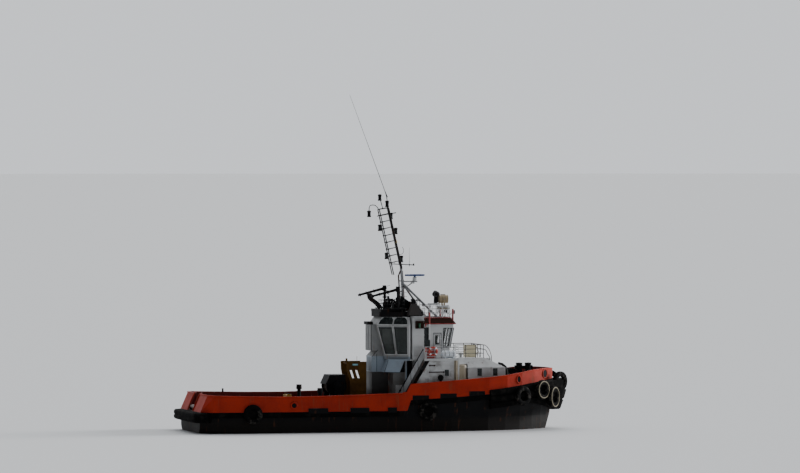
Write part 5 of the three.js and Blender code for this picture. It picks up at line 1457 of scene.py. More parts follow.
class TUG_OT_masts(bpy.types.Operator):
    """Builds the masts' lamps, brackets, aerials and radar"""

    bl_idname = "tug.masts"
    bl_label = "Mast fittings"

    def execute(self, context):
        for step in (self.lamps, self.aerials, self.ladder, self.radar, self.lower):
            step()
        return {"FINISHED"}

    def lamps(self):
        bodies, lenses, pale = Shape(), Shape(), Shape()
        for up, aft in RAIL_LAMPS:
            centre = mast_point(up, aft)
            bodies.lathe(centre, LAMP_OUTLINE, count=16)
            lenses.disc(centre, UP, 0.135, -0.09, 0.07, 16)
            rail_aft = MAST_DEPTH if aft > 0.4 else 0.0
            for shift in (-0.15, 0.12):
                bodies.rod(centre + UP * shift, mast_point(up + shift, rail_aft), 0.018, 6)
        hung = mast_point(MAST_TOP + 0.06, 2 * MAST_DEPTH)
        bodies.lathe(hung - UP * 0.25, LAMP_OUTLINE, count=16)
        bodies.rod(hung - UP * 0.1, hung + UP * 0.12, 0.02, 6)
        for up, aft in TOP_LAMPS:
            bodies.lathe(mast_point(up, aft), LAMP_OUTLINE, count=16)
        pale.lathe(mast_point(2.03, -0.06), [(0.07, -0.12), (0.07, 0.1)], 0.12)
        make("mast_lamps", bodies, "black_paint", "upper_mast", smooth=40)
        make("mast_lamp_lenses", lenses, "dark_glass", "upper_mast")
        make("mast_pale_lamp", pale, "pale_yellow", "upper_mast", bevel=0.01)

    def aerials(self):
        shape = Shape()
        shape.rod((2.77, 0, 12.64), (2.77, 0, 14.1), 0.014, 6, 0.006)
        shape.rod((2.77, 0, 12.64), (2.77, 0, 12.84), 0.03, 8)
        start = mast_point(1.1, 0.0)
        shape.bend([start, (2.1, 0, 13.56), (2.28, 0, 13.7), (2.3, 0, 13.95), (2.2, 0, 14.14)], 0.018, 6)
        tip = mast_point(-0.04, -1.02)
        shape.lathe(tip, [(0.06, -0.05), (0.06, 0.06), (0.03, 0.12)])
        for share in (0.12, 0.3, 0.5):
            foot = mast_point(0.43, 0.66).lerp(tip, share)
            shape.rod(foot, foot + UP * 0.22, 0.012, 6)
        whip_lean = 0.36
        shape.lathe(mast_point(5.7, -0.1), [(0.055, -0.15), (0.06, -0.1), (0.04, 0.1), (0.03, 0.35)], 0.36,
                    (-math.sin(whip_lean), 0, math.cos(whip_lean)), 12)
        make("mast_aerials", shape, "black_paint", "upper_mast", smooth=50)

    def ladder(self):
        """Rungs up the lattice's aft face, gussets at its nodes, and pipes along its corners"""
        shape = Shape()
        rung, wide = 0.27, MAST_HALF_WIDTH
        for up in (rung * k + rung for k in range(17)):
            shape.rod(mast_point(up, MAST_DEPTH, -wide), mast_point(up, MAST_DEPTH, wide), 0.013, 6)
        for up in (2 * rung * (k + 1) for k in range(8)):
            for y in (-wide, wide):
                shape.disc(mast_point(up, MAST_DEPTH, y), ACROSS, 0.07, -0.02, 0.02, 10)
        for aft, low in ((0.0, 0.3), (MAST_DEPTH, 0.35)):
            for y in (-wide, wide):
                shape.rod(mast_point(low, aft, y), mast_point(4.75, aft, y), 0.042, 8)
        make("mast_ladder", shape, "dark_mast", "upper_mast", smooth=50)

    def radar(self):
        beam, post = Shape(), Shape()
        z = 11.95
        half = [(0.3, 0.08), (0.77, 0.07), (0.8, 0.03)]
        beam.loft([[(RADAR_X + x, r * math.cos(t), z + r * math.sin(t)) for t in turns(12)]
                   for x, r in [(-x, r) for x, r in reversed(half)] + half])
        beam.lathe((RADAR_X, 0, 11.8003), [(0.09, 0.0), (0.08, 0.09)])
        make("scanner_beam", beam, "radar_paint", "scanner", replaces=["radar_scanner"], bevel=0.004)
        post.lathe((RADAR_X, 0, 11.49), [
            (0.21, 0.0), (0.21, 0.04), (0.17, 0.07), (0.18, 0.16), (0.17, 0.26), (0.13, 0.31)], count=20)
        post.block((RADAR_X - 0.3, -0.14, 11.3), (RADAR_X - 0.05, 0.14, 11.42))
        make("radar_motor", post, "white_paint", smooth=40)

    def lower(self):
        """Collars, clips and cables on the lower mast, and the hinge pin's nuts"""
        shape, cable = Shape(), Shape()
        foot_z, head_z = 9.47, 12.43
        for z in (9.8, 10.5, 11.2, 11.9, 12.3):
            share = (z - foot_z) / (head_z - foot_z)
            shape.ring((2.3 - 0.18 * share, 0, z), UP, 0.095, 0.016, 20, 6)
        for y in (1.9, -1.9):
            shape.rod((2.2, 0, 11.35), (4.5, y, 8.76), 0.085)
        for z in (10.0, 10.3, 10.6, 10.9, 11.2):
            shape.pipe(at_height([(2.38, -0.1), (2.56, -0.1), (2.56, 0.1), (2.38, 0.1)], z), 0.012, 6)
        for y in (1.9, -1.9):
            shape.rod((4.5, y, 8.74), (4.5, y, 8.8), 0.09, 12)
        make("lower_mast_fittings", shape, "mast_paint", smooth=50)
        cable.pipe([(2.04, 0, 9.46), (2.0, 0, 10.3), (1.9, 0, 11.9), (2.06, 0, 12.3)], 0.06, 8)
        cable.rod((2.38, 0, 9.46), (2.2, 0, 12.3), 0.06, 8)
        for z in (9.9, 10.7, 11.5):
            cable.rod((1.95, 0, z), (2.36, 0, z), 0.04, 6)
        make("mast_cable_trunks", cable, "rusty_brown", smooth=50)


def handwheel(shape, foot, high, axis, radius, spoke, pipes=(0.03, 0.018, 0.012), count=22):
    """A wheel with one spoke on an upright stem; the pipes are the stem, the rim and the spoke"""
    stem, rim, bar = pipes
    centre, spoke = Vector(foot) + UP * high, Vector(spoke)
    shape.rod(foot, centre, stem, 8)
    shape.ring(centre, axis, radius, rim, count, 6)
    shape.rod(centre - spoke, centre + spoke, bar, 6)


def upright(x, y, half_wide, low, high):
    """A rectangle that faces along the boat"""
    port, starboard = y + half_wide, y - half_wide
    return [(x, starboard, low), (x, port, low), (x, port, high), (x, starboard, high)]


class TUG_OT_roof_gear(bpy.types.Operator):
    """Builds the gear on the wheelhouse roof: searchlight, horn, platform pipes, floodlights and vents"""

    bl_idname = "tug.roof_gear"
    bl_label = "Roof gear"

    def execute(self, context):
        for step in (self.searchlight, self.horns, self.monitors, self.platform, self.floodlights, self.roof):
            step()
        return {"FINISHED"}

    def searchlight(self):
        rims, glass = Shape(), Shape()
        x, z = 5.48, 10.08
        for shift in (-0.33, -0.12, 0.12, 0.33):
            rims.ring((x + shift, 0, z), ALONG, 0.322, 0.018, 32, 6)
        rims.lathe((x - 0.33, 0, z), [(0.3, 0.0), (0.26, 0.08), (0.1, 0.12)], axis=-ALONG)
        for fin in (x - 0.2 + 0.08 * k for k in range(5)):
            rims.block((fin, -0.1, z + 0.31), (fin + 0.03, 0.1, z + 0.38))
        for side in (-1, 1):
            rims.disc((x, 0.36 * side, z), ACROSS * side, 0.08, 0, 0.05, 12)
        rims.block((x - 0.42, -0.36, 9.3), (x + 0.42, 0.36, 9.42))
        glass.lathe((x + 0.325, 0, z), [(0.3, 0.0), (0.22, 0.03)], 0.045, ALONG)
        make("searchlight_rims", rims, "beige_paint")
        make("searchlight_lens", glass, "lamp_clear")

    def horns(self):
        shape = Shape()
        outline = [(0.17, 0), (0.15, 0.4), (0.17, 0.5), (0.29, 0.56), (0.3, 0.72), (0.2, 0.84), (0.06, 0.9)]
        shape.lathe((4.9, 0, 9.8), outline, 0.96, count=20)
        for x in (4.36, 5.09):
            for y in (-0.34, 0.34):
                shape.rod((x, y, 8.85), (x, -y, 9.62), 0.014, 6)
        make("horns", shape, "black_paint", smooth=40)

    def monitors(self):
        """Each fire monitor's collars, tapered barrel, valve and handwheel"""
        for side, name in SIDES:
            y = MONITOR_Y * side
            shape = Shape()
            base, muzzle = Vector((1.33, y, 10.9)), Vector((-0.72, y, 10.38))
            for share in (0.08, 0.42, 0.72, 0.97):
                shape.disc(base.lerp(muzzle, share), muzzle - base, 0.135, -0.02, 0.02, 16)
            shape.rod((1.25, y, 10.88), (-0.6, y, 10.41), 0.11, 14, 0.085)
            for z in (10.16, 10.24, 10.7):
                shape.disc((1.33, y, z), UP, 0.19, 0, 0.035, 18)
            wheel = Vector((1.62, y, 10.55))
            shape.ring(wheel, (1, 0, 0.2), 0.17, 0.016, 20, 6)
            shape.rod((1.4, y, 10.52), (1.64, y, 10.55), 0.02, 8)
            for spoke in (ACROSS * 0.17, UP * 0.17):
                shape.rod(wheel - spoke, wheel + spoke, 0.01, 6)
            shape.block((1.18, y - 0.1, 10.95), (1.42, y + 0.1, 11.12))
            shape.rod((1.3, y, 11.0), (1.75, y, 11.12), 0.016, 6)
            make(f"monitor_fittings_{name}", shape, "black_paint", f"monitor_{name}", smooth=40)

    def platform(self):
        """Pipes, valves, hose boxes, a dome and a low rail on the monitor platform"""
        shape, foot, main_z = Shape(), PLATFORM_Z, 9.68
        fire_main = [(1.33, MONITOR_Y, 9.62), (1.45, 1.5, main_z), (1.6, 0.9, main_z), (1.72, 0.0, main_z)]
        shape.bend(fire_main, 0.11, 14)
        shape.bend([(1.7, 0.55, 9.46), (1.5, 0.55, 9.9), (1.1, 0.55, 10.05), (0.95, 0.55, 9.46)], 0.08, 12)
        for y in (0.5, 1.05, 1.6):
            shape.disc((1.7 - 0.2 * y, y, main_z), (-0.15, 1, 0), 0.17, -0.05, 0.05, 18)
        for y in (0.8, 1.3):
            valve = (1.67 - 0.2 * y, y, main_z + 0.02)
            handwheel(shape, valve, 0.4, UP, 0.16, ALONG * 0.16, pipes=(0.025, 0.016, 0.01), count=20)
        shape.block((1.9, 0.25, foot), (2.35, 0.42, 9.95))
        shape.block((1.05, 1.2, foot), (1.6, 1.75, 9.82))
        run = [(2.0, 1.55), (1.78, 1.86), (1.78, 2.38), (0.92, 2.38), (0.72, 0.85), (0.72, 0.0)]
        for x, y in run:
            shape.rod((x, y, 9.44), (x, y, 10.0), 0.02, 8)
        for z in (9.72, 9.99):
            shape.pipe(at_height(run, z), 0.016, 8)
        shape.both_sides()
        shape.plate([(1.86, foot), (3.06, 9.3), (3.06, 9.55), (1.86, 10.4)], -0.9, -0.82)
        shape.plate([(0.98, foot), (1.1, foot), (1.02, 10.35), (0.9, 10.35)], -0.6, -0.3)
        shape.lathe((0.9, 0.0, 9.44), [(0.2, 0), (0.22, 0.2), (0.2, 0.36), (0.12, 0.48)], 0.52, count=20)
        duct = [(0.48, 9.14), (0.42, 9.45), (0.06, 9.85), (-0.33, 10.15), (-0.42, 10.5)]
        for y in (-0.33, 0.33):
            shape.bend([(x, y, z) for x, z in duct], 0.13, 14)
        shape.block((0.1, -1.6, 9.13), (1.95, 1.6, 9.34))
        make("platform_gear", shape, "black_paint", smooth=40)
        wedge = Shape()
        for low, high in ((-1.7, -0.95), (0.95, 1.7)):
            wedge.plate([(2.5, 9.16), (3.3, 9.16), (3.25, 9.35), (2.5, 9.95)], low, high)
        make("engine_room_vents", wedge, "rusty_brown", bevel=0.02)

    def floodlights(self):
        """Lamps that flare towards their glass, on pipes and brackets, and a box on the aft trunk"""
        cases, glass = Shape(), Shape()
        for x, y, z, facing in ((0.5, 1.15, 9.3, -1), (0.5, 0.5, 9.3, -1), (5.9, 1.2, 9.1, 1)):
            mouth, face = x + facing * 0.16, x + facing * 0.162
            cases.loft([upright(x, y, 0.14, z - 0.1, z + 0.12), upright(mouth, y, 0.19, z - 0.16, z + 0.14)])
            glass.loft([upright(face + d, y, 0.16, z - 0.13, z + 0.11) for d in (-0.01, facing * 0.012)])
            cases.rod((x, y, z - 0.05), (x - facing * 0.2, y, z - 0.2), 0.02, 6)
        cases.pipe([(0.7, 1.15, 9.12), (0.7, 0.5, 9.12), (0.7, 0.0, 9.12)], 0.03, 8)
        cases.block((-0.72, 0.0, 8.15), (-0.3, 0.62, 8.38))
        cases.rod((5.7, 1.2, 8.65), (5.7, 1.2, 8.95), 0.02, 8)
        make("floodlights", cases.both_sides(), "black_paint", bevel=0.006)
        make("floodlight_glass", glass.both_sides(), "lamp_clear")

    def roof(self):
        """The red and white posts, domes and cable trays of the roofs"""
        red, white = Shape(), Shape()
        red.rod((5.74, 1.98, 8.2), (5.74, 1.98, 9.36), 0.07)
        red.rod((3.76, 2.42, 8.2), (3.76, 2.42, 9.1), 0.065)
        red.pipe(at_height([(3.42, 2.06), (5.5, 2.06), (5.81, 1.16), (5.81, 0.0)], 8.68), 0.03, 8)
        white.rod((3.76, 2.42, 7.0), (3.76, 2.42, 8.2), 0.055)
        for y, z in ((2.18, 7.4), (2.18, 8.0), (2.0, 8.8)):
            white.rod((3.76, y, z), (3.76, 2.42, z), 0.02, 6)
        dome = [(0.1, 0), (0.12, 0.06), (0.1, 0.14), (0.04, 0.2)]
        for x, y, high in ((3.62, 1.0, 0.9), (4.0, 1.5, 0.55), (3.5, 0.4, 1.25)):
            white.rod((x, y, 8.68), (x, y, 8.7 + high), 0.025, 8)
            white.lathe((x, y, 8.66 + high), dome, 0.21, count=18)
        white.block((3.45, 0.55, 8.69), (4.2, 0.75, 8.82))
        make("roof_red_posts", red.both_sides(), "red_paint")
        make("roof_posts", white.both_sides(), "white_paint", smooth=40)


def rail(shape, points, height, levels, radius):
    """Posts on round feet at the points, and level pipes between them"""
    for x, y, z in points:
        shape.rod((x, y, z - 0.004), (x, y, z + height), radius, 8)
        shape.disc((x, y, z), UP, 0.05, 0, 0.012, 10)
    for k in range(levels):
        up = height * (k + 1) / levels
        thick = radius if k == levels - 1 else radius * 0.75
        shape.pipe([(x, y, z + up) for x, y, z in points], thick, 8)


class TUG_OT_rails(bpy.types.Operator):
    """Builds the rails of the roofs and the forward house, and the handrails of the stairs"""

    bl_idname = "tug.rails"
    bl_label = "Rails"

    def execute(self, context):
        radius = context.scene.tug_size.rail_pipe
        for step in (self.fore_house, self.roof, self.boat_deck, self.stairs):
            step(radius)
        return {"FINISHED"}

    def fore_house(self, radius):
        run = [(5.95, 1.82), (6.8, 1.82), (7.6, 1.82), (8.24, 1.82), (8.24, 0.9), (8.24, 0.0)]
        port = at_height(run, FORE_HOUSE_TOP_Z)
        shape = Shape()
        starboard = [mirrored(point) for point in reversed(port[:-1])]
        rail(shape, port + starboard, height=1.0, levels=3, radius=radius)
        for y in (1.84, -1.84):
            for drop, reach in ((0.0, 0.0), (0.34, 0.12)):
                shape.bend([
                    (8.1, y, 6.56 - drop), (8.4, y, 6.5 - drop), (8.68 - reach, y, 6.2 - drop),
                    (8.85 - reach, y, 5.75 - drop * 0.5), (8.9 - reach, y, 5.22 + reach * 0.4)], radius, 8)
        make("fore_house_rail", shape, "dark_rail", replaces=["rail_fore_house"], smooth=50)

    def roof(self, radius):
        run = [(3.5, 1.95), (4.1, 1.95), (4.9, 2.0), (5.42, 1.98), (5.74, 1.05), (5.74, 0.35)]
        port = at_height(run, ROOF_Z)
        shape = Shape()
        starboard = [mirrored(point) for point in reversed(port)]
        rail(shape, port + starboard, height=0.9, levels=3, radius=radius * 0.9)
        make("roof_rail", shape, "white_paint", replaces=["rail_roof"], smooth=50)

    def boat_deck(self, radius):
        """A middle rail and stanchion feet on the boat deck's own rails, and a toe plate"""
        shape = Shape()
        run = [(3.1, 3.56), (3.9, 3.56), (4.7, 3.56), (5.5, 3.56), (5.78, 3.56), (5.78, 2.75)]
        for up in (0.25, 0.74):
            shape.pipe(at_height(run, BOAT_DECK_Z + up), radius * 0.7, 8)
        for x, y in run:
            shape.rod((x, y, BOAT_DECK_Z - 0.01), (x, y, BOAT_DECK_Z + 0.04), 0.045)
        shape.plate([(3.06, 5.49), (5.82, 5.49), (5.82, 5.58), (3.06, 5.58)], 3.592, 3.604)
        make("boat_deck_rails", shape.both_sides(), "white_paint", smooth=50)

    def stairs(self, radius):
        """A dark rail along the top of each stair's solid side, and the edges of its treads"""
        shape = Shape()
        foot, head = Vector((0.8, 3.48, 1.62)), Vector((3.05, 3.48, 5.5))
        high, treads, tread_drop = Vector((-0.05, 0, 0.82)), 12, 0.135
        shape.pipe([foot.lerp(head, 0.02) + high, foot.lerp(head, 0.5) + high, head + high], radius * 1.4, 8)
        for share in (0.05, 0.3, 0.55, 0.8):
            post = foot.lerp(head, share)
            shape.rod(post, post + high, radius, 6)
        for k in range(1, treads):
            edge = foot.lerp(head, k / treads + 0.035)
            z = edge.z - tread_drop
            shape.rod((edge.x, 2.86, z), (edge.x, foot.y, z), 0.016, 6)
        make("stair_rails", shape.both_sides(), "black_paint", smooth=50)


def coil(shape, centre, radius, thick, rounds, reach):
    """Rope wound round a drum that lies across the boat"""
    x, y, z = centre
    steps = 26
    points = []
    for k in range(rounds * steps + 1):
        t = 2 * math.pi * k / steps
        across = y - reach + 2 * reach * k / (rounds * steps)
        points.append((x + radius * math.cos(t), across, z + radius * math.sin(t)))
    shape.pipe(points, thick, 6)


def tapered_rib(shape, low_x, high_x, inner, ends):
    """An upright rib that stands out to one place at its foot and to another at its head"""
    shape.loft([
        at_height([(low_x, inner), (high_x, inner), (high_x, outer), (low_x, outer)], z)
        for outer, z in ends
    ])


class TUG_OT_deck_gear(bpy.types.Operator):
    """Builds the winches' rope, brakes and ribs, and the bitts, hatches and small gear on deck"""

    bl_idname = "tug.deck_gear"
    bl_label = "Deck gear"

    def execute(self, context):
        for step in (self.winch, self.frame, self.windlass, self.foredeck, self.aft_deck, self.stern):
            step()
        return {"FINISHED"}

    def winch(self):
        x, z = -3.25, 3.43
        rope, fixed = Shape(), Shape()
        coil(rope, (x, 0, z), radius=0.585, thick=0.04, rounds=21, reach=0.81)
        make("towing_rope", rope, "rope", "towing_drum", smooth=60)
        self.drum_ribs(x, z)
        self.bed(fixed, x, z)
        for side in (1, -1):
            y = 1.03 * side
            hub = [(0.32, 0), (0.32, 0.05), (0.2, 0.07), (0.2, 0.12)]
            fixed.lathe((x, y - 0.02 * side, z), hub, axis=ACROSS * side, count=20)
            for rib in (x - 0.45 + 0.3 * k for k in range(4)):
                ends = ((y + 0.07 * side, 1.8), (y + 0.02 * side, 3.1))
                tapered_rib(fixed, rib - 0.015, rib + 0.015, y - 0.03 * side, ends)
        for y in (-1.05, -1.2, -1.35, -1.5):
            fixed.ring((x, y, z), ACROSS, 0.335, 0.016, 28, 6)
        for y in (0.0, 0.12):
            fixed.bend([(x - 0.1, y - 1.45, 3.1), (x - 0.5, y - 1.5, 2.6), (x - 0.7, y - 1.4, 1.9),
                        (x - 0.75, y - 1.2, 1.66)], 0.022, 8)
        handwheel(fixed, (x + 0.6, 0.75, 1.75), high=1.15, axis=(0.3, 0, 1), radius=0.2, spoke=ALONG * 0.2)
        make("winch_fittings", fixed, "black_paint", replaces=["winch_bed"], smooth=40)

    def drum_ribs(self, x, z):
        """Ribs like a wheel's spokes on both flanges of the drum, and their rims"""
        steel = Shape()
        for side in (1, -1):
            middle, inward = Vector((x, 0.828 * side, z)), ACROSS * -side
            for t in turns(8):
                ray = Vector((math.cos(t), 0, math.sin(t)))
                half = Vector((-math.sin(t), 0, math.cos(t))) * 0.02
                ends = ((middle + ray * 0.62, inward * 0.04), (middle + ray * 0.78, inward * 0.02))
                steel.loft([[end - half, end + half, end + half + deep, end - half + deep]
                            for end, deep in ends])
            steel.ring((x, 0.858 * side, z), ACROSS, 0.79, 0.012, 40, 6)
        make("drum_ribs", steel, "black_paint", "towing_drum")

    def bed(self, shape, x, z):
        """Bed plate, cheeks, motor and the guard that covers the drum"""
        deck = 1.6203
        cheek = [(-0.7, deck - z), (0.7, deck - z), (0.5, 0.0), (0.25, 0.26), (-0.25, 0.26), (-0.5, 0.0)]
        guard = [(-0.87, 0.15), (-0.55, 0.86), (0.69, 0.86), (0.69, 0.37), (-0.15, 0.13)]
        for outline, low, high in ((cheek, 0.9, 1.02), (guard, 0.97, 1.0)):
            placed = [(x + dx, z + dz) for dx, dz in outline]
            shape.plate(placed, low, high)
            shape.plate(placed[::-1], -high, -low)
        lid = placed[:3]
        shape.plate(lid + [(px + 0.025, pz - 0.03) for px, pz in reversed(lid)], -1.0, 1.0)
        shape.block((x - 0.9, -1.1, deck), (x + 0.9, 1.1, deck + 0.12))
        shape.block((x - 0.25, -1.5, deck), (x + 0.25, -1.01, z))
        shape.lathe((x, -1.52, z), [(0.26, 0), (0.32, 0.04), (0.32, 0.5)], 0.52, ACROSS)

    def frame(self):
        """Raised edges, stiffeners and a ladder on the winch frame, its lamp's base and its lamp"""
        shape, lamp = Shape(), Shape()
        outline = [(-0.95, 1.64), (-2.15, 1.64), (-2.25, 3.7), (-2.45, 4.72), (-2.45, 5.27), (-0.95, 5.27)]
        shape.border([(x, 1.0, z) for x, z in outline], 0.03, 0.05, -0.01)
        for z in (2.4, 3.0, 3.6):
            shape.plate([(-2.1, z), (-1.0, z), (-1.0, z + 0.02), (-2.1, z + 0.02)], 0.99, 1.04)
        for z in (1.95 + 0.3 * k for k in range(11)):
            shape.pipe(at_height([(-0.96, 0.35), (-0.85, 0.35), (-0.85, 0.7), (-0.96, 0.7)], z), 0.013, 6)
        for y in (0.35, 0.7):
            shape.rod((-0.95, y, 1.7), (-0.95, y, 5.1), 0.02, 6)
        shape.both_sides()
        shape.rod((-1.65, -0.95, 5.2), (-1.65, -0.95, 5.72), 0.014, 6)
        shape.lathe((-2.25, 0, 5.22), [(0.2, 0), (0.2, 0.1), (0.08, 0.14), (0.08, 0.3)], 0.32)
        lamp.plate([(-2.02, 5.0), (-1.6, 5.0), (-1.6, 5.14), (-2.02, 5.14)], -1.1, -0.99)
        make("winch_frame_edges", shape, "winch_paint", smooth=40)
        make("frame_lamp", lamp, "pale_cyan", bevel=0.02)

    def windlass(self):
        """Rope on both halves of the drum, end caps, bearers, ribs and the brake's handwheel"""
        fixed, rope = Shape(), Shape()
        x, z = 10.85, 4.15
        for y, rounds, reach in ((0.24, 7, 0.26), (-0.37, 5, 0.18)):
            coil(rope, (x, y, z), 0.29, 0.035, rounds, reach)
        make("anchor_rope", rope, "rope", "anchor_drum", smooth=60)
        cap = [(0.2, 0), (0.2, 0.06), (0.12, 0.08), (0.12, 0.16)]
        bearer = [(0.25, 3.42), (0.25, 3.6), (-0.25, 3.6), (-0.25, 3.42)]
        for side in (1, -1):
            fixed.lathe((x, side * 0.7, z), cap, 0.17, ACROSS * side, 20)
            fixed.pipe([(x + dx, side * 0.4, height) for dx, height in bearer], 0.03, 8)
        foot, spoke = (x - 0.35, -0.3, 3.4), (0.18, 0, 0.07)
        handwheel(fixed, foot, high=1.1, axis=(-0.4, 0, 1), radius=0.2, spoke=spoke)
        for height in (3.55, 3.8, 4.05):
            fixed.block((x - 0.26, 1.03, height), (x + 0.26, 1.06, height + 0.04))
        make("windlass_fittings", fixed, "black_paint", smooth=40)

    def foredeck(self):
        """Collars on the bitt, hatches and vents"""
        steel = Shape()
        for x in (11.6, 12.32):
            for z in (4.9, 3.7):
                steel.ring((x, 0, z), UP, 0.24, 0.03, 28, 6)
            steel.lathe((x, 0, 5.02), [(0.27, 0), (0.25, 0.05)], 0.08)
        for x, facing in ((11.3, -1), (12.62, 1)):
            steel.lathe((x, 0, 4.72), [(0.16, -0.02), (0.16, 0.05)], 0.06, ALONG * facing, 18)
        vent = [(0.1, 0), (0.1, 0.55), (0.2, 0.6), (0.2, 0.7)]
        for y in (1.6, -1.6):
            steel.loft([at_height(square(8.9, y, 0.4, 0.4), z) for z in (2.9, 3.25)])
            steel.lathe((10.2, y * 1.3, 3.05), vent, 0.76, count=18)
        make("foredeck_gear", steel, "black_paint", smooth=40)

    def aft_deck(self):
        """Bitts, capstans, hatches, the tow pins' caps and sides, a hose coil and the post's top"""
        steel, red = Shape(), Shape()
        for x in (-10.18, -9.42):
            steel.lathe((x, 3.9, 2.36), [(0.18, 0), (0.19, 0.03), (0.16, 0.07)], 0.08, count=20)
            steel.rod((x - 0.26, 3.9, 2.15), (x + 0.26, 3.9, 2.15), 0.03, 8)
        capstan = [(0.32, 0), (0.32, 0.06), (0.2, 0.12), (0.16, 0.4), (0.22, 0.6), (0.28, 0.66), (0.28, 0.72)]
        steel.lathe((-8.2, 2.9, 1.6), capstan, 0.76)
        for x, y, half_x, half_y in ((-12.4, 1.6, 0.45, 0.4), (-5.9, 1.9, 0.4, 0.4), (-1.2, 2.6, 0.35, 0.35)):
            foot, lid = (at_height(square(x, y, half_x, half_y), z) for z in (1.6, 1.78))
            red.loft([foot, lid])
            red.border(lid[1:] + lid[:1], 0.04, 0.04, -0.02)
            edge = y - half_y
            for hinge in (x - 0.5 * half_x, x + 0.5 * half_x):
                red.rod((hinge, edge - 0.04, 1.8), (hinge, edge + 0.06, 1.8), 0.03, 8)
        for x in (-7.28, -6.62):
            steel.block((x - 0.02, -0.88, 1.63), (x + 0.02, 0.88, 1.99))
        for y in (-0.5, 0.5):
            steel.lathe((-6.95, y, 2.84), [(0.15, 0), (0.15, 0.03)], 0.06, count=20)
        steel.both_sides()
        for radius in (0.24, 0.31):
            steel.ring((7.03, -3.62, 3.66), (0.1, 1, 0), radius, 0.035, 26)
        steel.lathe((-11.06, 4.62, 2.6), [(0.07, 0), (0.07, 0.5)], 0.52, count=12)
        make("aft_deck_steel", steel, "black_paint", smooth=40)
        make("aft_deck_hatches", red.both_sides(), "red_paint", bevel=0.01)

    def stern(self):
        """Horns at the ends of the transom bulwark and ribs on the deck roller's brackets"""
        shape = Shape()
        shape.bend([(-14.58, 0.97, 1.64), (-14.34, 0.97, 2.3), (-14.06, 0.97, 2.86), (-13.95, 1.1, 2.95),
                    (-14.0, 1.4, 2.93)], 0.07)
        for x in (-14.42, -14.14):
            tapered_rib(shape, x, x + 0.02, 0.9, ((0.94, 1.64), (0.91, 1.98)))
        make("stern_horns", shape.both_sides(), "bulwark_paint", smooth=50)


class TUG_OT_safety_gear(bpy.types.Operator):
    """Builds the life rings, raft straps and boxes on the boat deck"""

    bl_idname = "tug.safety_gear"
    bl_label = "Safety gear"

    def execute(self, context):
        for step in (self.rings, self.rafts, self.boxes):
            step()
        return {"FINISHED"}

    def rings(self):
        floats, bands = Shape(), Shape()
        self.life_ring(floats, bands, Vector((3.75, 3.62, 6.14)), ACROSS, ALONG)
        bands.rod((3.5, 3.57, 6.34), (4.0, 3.57, 6.34), 0.012, 6)
        self.life_ring(floats, bands, Vector((9.82, 0.0, 4.2)), ALONG, ACROSS)
        make("life_rings", floats.both_sides(), "orange_plastic", smooth=60)
        make("life_ring_bands", bands.both_sides(), "gelcoat", smooth=60)

    def life_ring(self, floats, bands, centre, axis, level):
        """A ring that faces along its axis, with a band at each quarter"""
        radius = 0.3
        floats.ring(centre, axis, radius, 0.075, 32, 12)
        for t in (math.pi / 4 + math.pi * k / 2 for k in range(4)):
            out = level * math.cos(t) + UP * math.sin(t)
            along = UP * math.cos(t) - level * math.sin(t)
            bands.disc(centre + out * radius - along * 0.05, along, 0.081, 0, 0.1, 12)

    def rafts(self):
        straps, ends = Shape(), Shape()
        y, z, radius = 3.235, 5.905, 0.29
        for x in (4.75, 5.08, 5.4):
            straps.ring((x, y, z), ALONG, radius, 0.014, 36, 6)
        straps.ring((5.075, y, z), ALONG, radius + 0.004, 0.02, 36, 6)
        for x in (4.75, 5.4):
            for high, low in ((-0.28, -0.24), (0.28, 0.24)):
                straps.rod((x, y + high, z), (x, y + low, 5.56), 0.012, 6)
        ends.disc((4.44, y, z - 0.02), UP, 0.04, 0, 0.06, 10)
        ends.ring((5.075, y, z), ALONG, radius, 0.022, 36)
        make("raft_straps", straps.both_sides(), "black_paint")
        make("raft_seams", ends.both_sides(), "gelcoat")

    def boxes(self):
        red, white, orange = Shape(), Shape(), Shape()
        red.block((3.35, 3.2, BOAT_DECK_Z), (3.98, 3.5, 6.34))
        red.block((3.33, 3.18, 6.34), (4.0, 3.52, 6.39))
        white.block((4.02, 3.2, BOAT_DECK_Z), (4.4, 3.48, 6.35))
        orange.lathe((3.2, 3.5, 6.1), [(0.05, 0), (0.05, 0.3), (0.03, 0.36)], 0.37, count=14)
        orange.lathe((3.62, 3.35, 6.06), [(0.16, 0), (0.17, 0.3), (0.1, 0.36)], 0.37, count=18)
        make("hose_boxes", red.both_sides(), "red_paint", bevel=0.015)
        make("deck_lockers", white.both_sides(), "white_paint", bevel=0.015)
        make("ring_lights", orange.both_sides(), "orange_plastic")


class TUG_OT_underwater(bpy.types.Operator):
    """Builds the zinc anodes and bilge keels"""

    bl_idname = "tug.underwater"
    bl_label = "Underwater fittings"

    def execute(self, context):
        keels, zinc = Shape(), Shape()
        run = [(-5.5, 3.95, -1.35), (-3.0, 4.0, -2.05), (0.0, 4.02, -2.25), (3.0, 4.0, -2.25),
               (5.5, 3.85, -2.1)]
        section = [(-0.25, 0.12), (0.22, -0.2), (0.2, -0.23), (-0.28, 0.06)]
        keels.loft([[(x, y + dy, z + dz) for dy, dz in section] for x, y, z in smooth_run(run, 3)])
        for x in (-8.0, -6.5, -5.0):
            zinc.block((x, 0.16, -2.3), (x + 0.4, 0.22, -2.15))
        for z in (-3.3, -1.7):
            zinc.block((-11.75, 2.23, z), (-11.5, 2.28, z + 0.12))
        make("bilge_keels", keels.both_sides(), "underwater_paint", smooth=50)
        make("zinc_anodes", zinc.both_sides(), "bare_steel", bevel=0.01)
        return {"FINISHED"}


